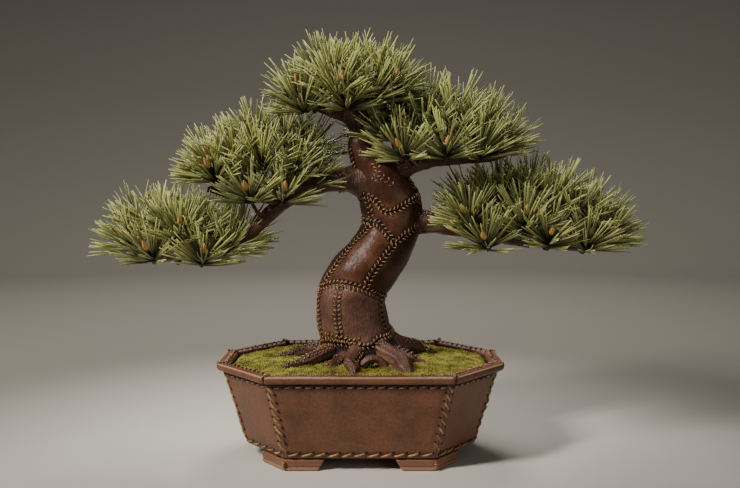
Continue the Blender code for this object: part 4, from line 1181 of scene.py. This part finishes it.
# painted shade: the blade darkens to near black at its base, inside the tuft
blade = add(tree, "ShaderNodeValToRGB", {"Fac": length_mark.outputs["Fac"]},
            ((0.0, "14170a"), (1.0, "bdb976"), (1.0, "ffffff")))
margin = add(tree, "ShaderNodeAttribute", attribute_name="edge")
narrow = add(tree, "ShaderNodeMath", {0: margin.outputs["Fac"], 1: 2.2}, operation="POWER")
reached = add(tree, "ShaderNodeMapRange",
              {"Value": length_mark.outputs["Fac"], "From Min": 0.2, "From Max": 0.8})
edge_share = add(tree, "ShaderNodeMath", {0: narrow.outputs[0], 1: reached.outputs["Result"]},
                 operation="MULTIPLY")
striped = add(tree, "ShaderNodeMix",
              {"Factor": edge_share.outputs[0], 6: blade.outputs["Color"], 7: linear("b7c56c")},
              data_type="RGBA")
tone = add(tree, "ShaderNodeAttribute", attribute_name="tone")
scale = add(tree, "ShaderNodeMapRange", {"Value": tone.outputs["Fac"], "To Min": 0.4, "To Max": 1.26})
final = add(tree, "ShaderNodeMix", {"Factor": 1.0, 6: striped.outputs[2], 7: scale.outputs["Result"]},
            data_type="RGBA", blend_type="MULTIPLY")
tree.links.new(final.outputs[2], shader.inputs["Base Color"])

# thin bark that flakes as it grows: dull, with red-brown scales over darker gaps
twig_bark, tree, shader = new_material("rough_red_brown_twig_bark", Roughness=0.8)
place = add(tree, "ShaderNodeTexCoord").outputs["Object"]
flakes = add(tree, "ShaderNodeTexNoise", {"Vector": place, "Scale": 1 / (2.4 * MM), "Detail": 3.0})
tone = add(tree, "ShaderNodeValToRGB", {"Fac": flakes.outputs["Fac"]}, ((0.35, "2b1710"), (0.7, "6a4029")))
tree.links.new(tone.outputs["Color"], shader.inputs["Base Color"])

# papery scales stuck down with resin: a soft gleam, pale orange on the scales and brown where they overlap
bud_scales, tree, shader = new_material("resinous_orange_brown_bud_scales", Roughness=0.5)
scale_mark = add(tree, "ShaderNodeAttribute", attribute_name="crease")
tone = add(tree, "ShaderNodeValToRGB", {"Fac": scale_mark.outputs["Fac"]}, ((0.0, "eab877"), (1.0, "6e3f1e")))
tree.links.new(tone.outputs["Color"], shader.inputs["Base Color"])

BUNDLES = 19
NEEDLES = 5
NEEDLE_RINGS = 6
NEEDLE_SIDES = 4
GOLDEN_ANGLE = 2.39996
# needles that would stand lower than this slope are raised most of the way back to it
LEVEL = 0.12
bud_places, bud_ways, twig_starts, twig_ends, twig_ways = [], [], [], [], []
for number, (pad, (plain, facing)) in enumerate(TUFTS.items()):
    rng = np.random.default_rng(300 + number)
    base = np.array(plain + facing, float)
    low, high = box_mm(pad)
    heart = (low + high) / 2
    heart[2] = low[2] + 0.25 * (high[2] - low[2])
    half = (high - low) / 2
    base = heart + (base - heart) * [0.98, 0.92, 0.86]
    axis = (base - heart) / half * [0.6, 0.42, 0.3] + [0, 0, 0.85]
    axis[:, 2] = np.maximum(axis[:, 2], 0.7)
    axis = unit(axis + rng.normal(0, 0.08, base.shape))
    first = unit(np.cross(axis, [0.3, 0.2, 1.0]))
    second = np.cross(axis, first)
    count = len(base)
    # bundles spread evenly over the tuft's dome by the golden angle; five needles fan out from each bundle
    order = (np.arange(BUNDLES) + 0.5) / BUNDLES
    polar = np.arccos(0.97 - order * 0.97)[None] + rng.normal(0, 0.07, (count, BUNDLES))
    spin = np.arange(BUNDLES) * GOLDEN_ANGLE + rng.uniform(0, math.tau, (count, 1))
    way = (axis[:, None] * np.cos(polar)[..., None]
           + (first[:, None] * np.cos(spin)[..., None] + second[:, None] * np.sin(spin)[..., None])
           * np.sin(polar)[..., None])
    root = base[:, None] + axis[:, None] * (4 - 6 * order)[None, :, None]
    way = way[:, :, None] + rng.normal(0, 0.10, (count, BUNDLES, NEEDLES, 3))
    way[..., 2] = np.where(way[..., 2] < LEVEL, LEVEL + 0.35 * (way[..., 2] - LEVEL), way[..., 2])
    way = unit(way).reshape(-1, 3)
    root = np.repeat(root.reshape(-1, 3), NEEDLES, axis=0)
    size = rng.uniform(34, 42, len(way))
    t = np.linspace(0, 1, NEEDLE_RINGS)
    sag = rng.normal(0, 1.5, (len(way), 3)) + [0, 0, 2.4]
    run = (size[:, None] * (0.04 + 0.96 * t))[..., None]
    paths = root[:, None] + way[:, None] * run + sag[:, None] * (t**2)[:, None]
    width = np.array([0.55, 0.8, 0.92, 0.9, 0.76, 0.34]) * rng.uniform(0.85, 1.15, (len(way), 1))
    outward = np.repeat((base - heart) * [1, 1, 0.3] / half, BUNDLES * NEEDLES, axis=0) + [0, -0.4, 0]
    flat_side = unit(unit(outward) + rng.normal(0, 0.4, way.shape))
    points, quads, triangles = sweep(paths, width, flat_side, NEEDLE_SIDES, 0.6)
    along = np.tile(np.append(np.repeat(t, NEEDLE_SIDES), [0, 1]), len(way))
    edge = np.tile(np.append(np.tile([1.0, 0.0], NEEDLE_RINGS * NEEDLE_SIDES // 2), [0, 1]), len(way))
    bundle_tone = np.repeat(rng.normal(0.5, 0.2, count * BUNDLES), NEEDLES)
    tone = np.clip(bundle_tone + rng.normal(0, 0.16, len(way)), 0, 1)
    pad_mesh = put_mesh(pad + "_tufts", points, quads, triangles, needle_green, True, along=along, edge=edge,
                        tone=np.repeat(tone, NEEDLE_RINGS * NEEDLE_SIDES + 2))
    keep(pad_mesh, "pine_needles", pad)
    budded = np.arange(len(plain), count)
    bud_places.append(base[budded])
    bud_ways.append(axis[budded])
    # each twig grows from the nearest place on a branch to a point 8 mm under its tuft
    stems = np.concatenate(branch_axes)
    away = np.linalg.norm(base[:, None] + [0, 0, -8] - stems[None], axis=-1)
    twig_starts.append(stems[np.argmin(away, axis=1)])
    twig_ends.append(base)
    twig_ways.append(axis)

places, ways = np.concatenate(bud_places), np.concatenate(bud_ways)
BUD_RINGS = 12
BUD_SIDES = 10
ring = np.arange(BUD_RINGS)
t = np.linspace(0, 1, BUD_RINGS)
paths = places[:, None] + unit(ways + [0, -0.9, 0])[:, None] * (17 + 12 * t)[None, :, None]
swell = np.sin(math.pi * (0.12 + 0.88 * t)) ** 0.7 * (1 - 0.55 * t)
steps = 1 + 0.10 * np.cos(ring * math.pi)
radii = (2.9 * swell * steps + 0.15) * np.ones((len(places), 1))
points, quads, triangles = sweep(paths, radii, unit(np.cross(ways, [0.2, 1.0, 0.1])), BUD_SIDES)
overlap = (1 + np.cos(np.arange(BUD_SIDES) * math.pi + ring[:, None])) / 2
scale_rows = np.clip((ring % 2)[:, None] * 0.8 * overlap + 0.1, 0, 1)
marks = np.tile(np.append(scale_rows.ravel(), [0, 0]), len(places))
keep(put_mesh("winter_buds", points, quads, triangles, bud_scales, crease=marks), "pine_needles")

TWIG_RINGS = 14
starts, ends, ways = map(np.concatenate, (twig_starts, twig_ends, twig_ways))
t = np.linspace(0, 1, TWIG_RINGS)[None, :, None]
control = ends - ways * 0.45 * np.linalg.norm(ends - starts, axis=1, keepdims=True)
tips = ends + ways * 5
paths = (1 - t) ** 2 * starts[:, None] + 2 * t * (1 - t) * control[:, None] + t**2 * tips[:, None]
paths = paths + 0.7 * ripple(paths, 7.0, 400)[..., None] * np.array([0.6, 0.5, 0.6]) * np.sin(math.pi * t)
knobbly = 1 + 0.15 * np.sin(np.arange(TWIG_RINGS) * 2.4)
radii = np.linspace(2.1, 1.5, TWIG_RINGS) * knobbly * np.ones((len(starts), 1))
points, quads, triangles = sweep(paths, radii, unit(np.cross(ends - starts, [0.1, 1.0, 0.3])), 8)
keep(put_mesh("tuft_twigs", points, quads, triangles, twig_bark), "trunk_leather")
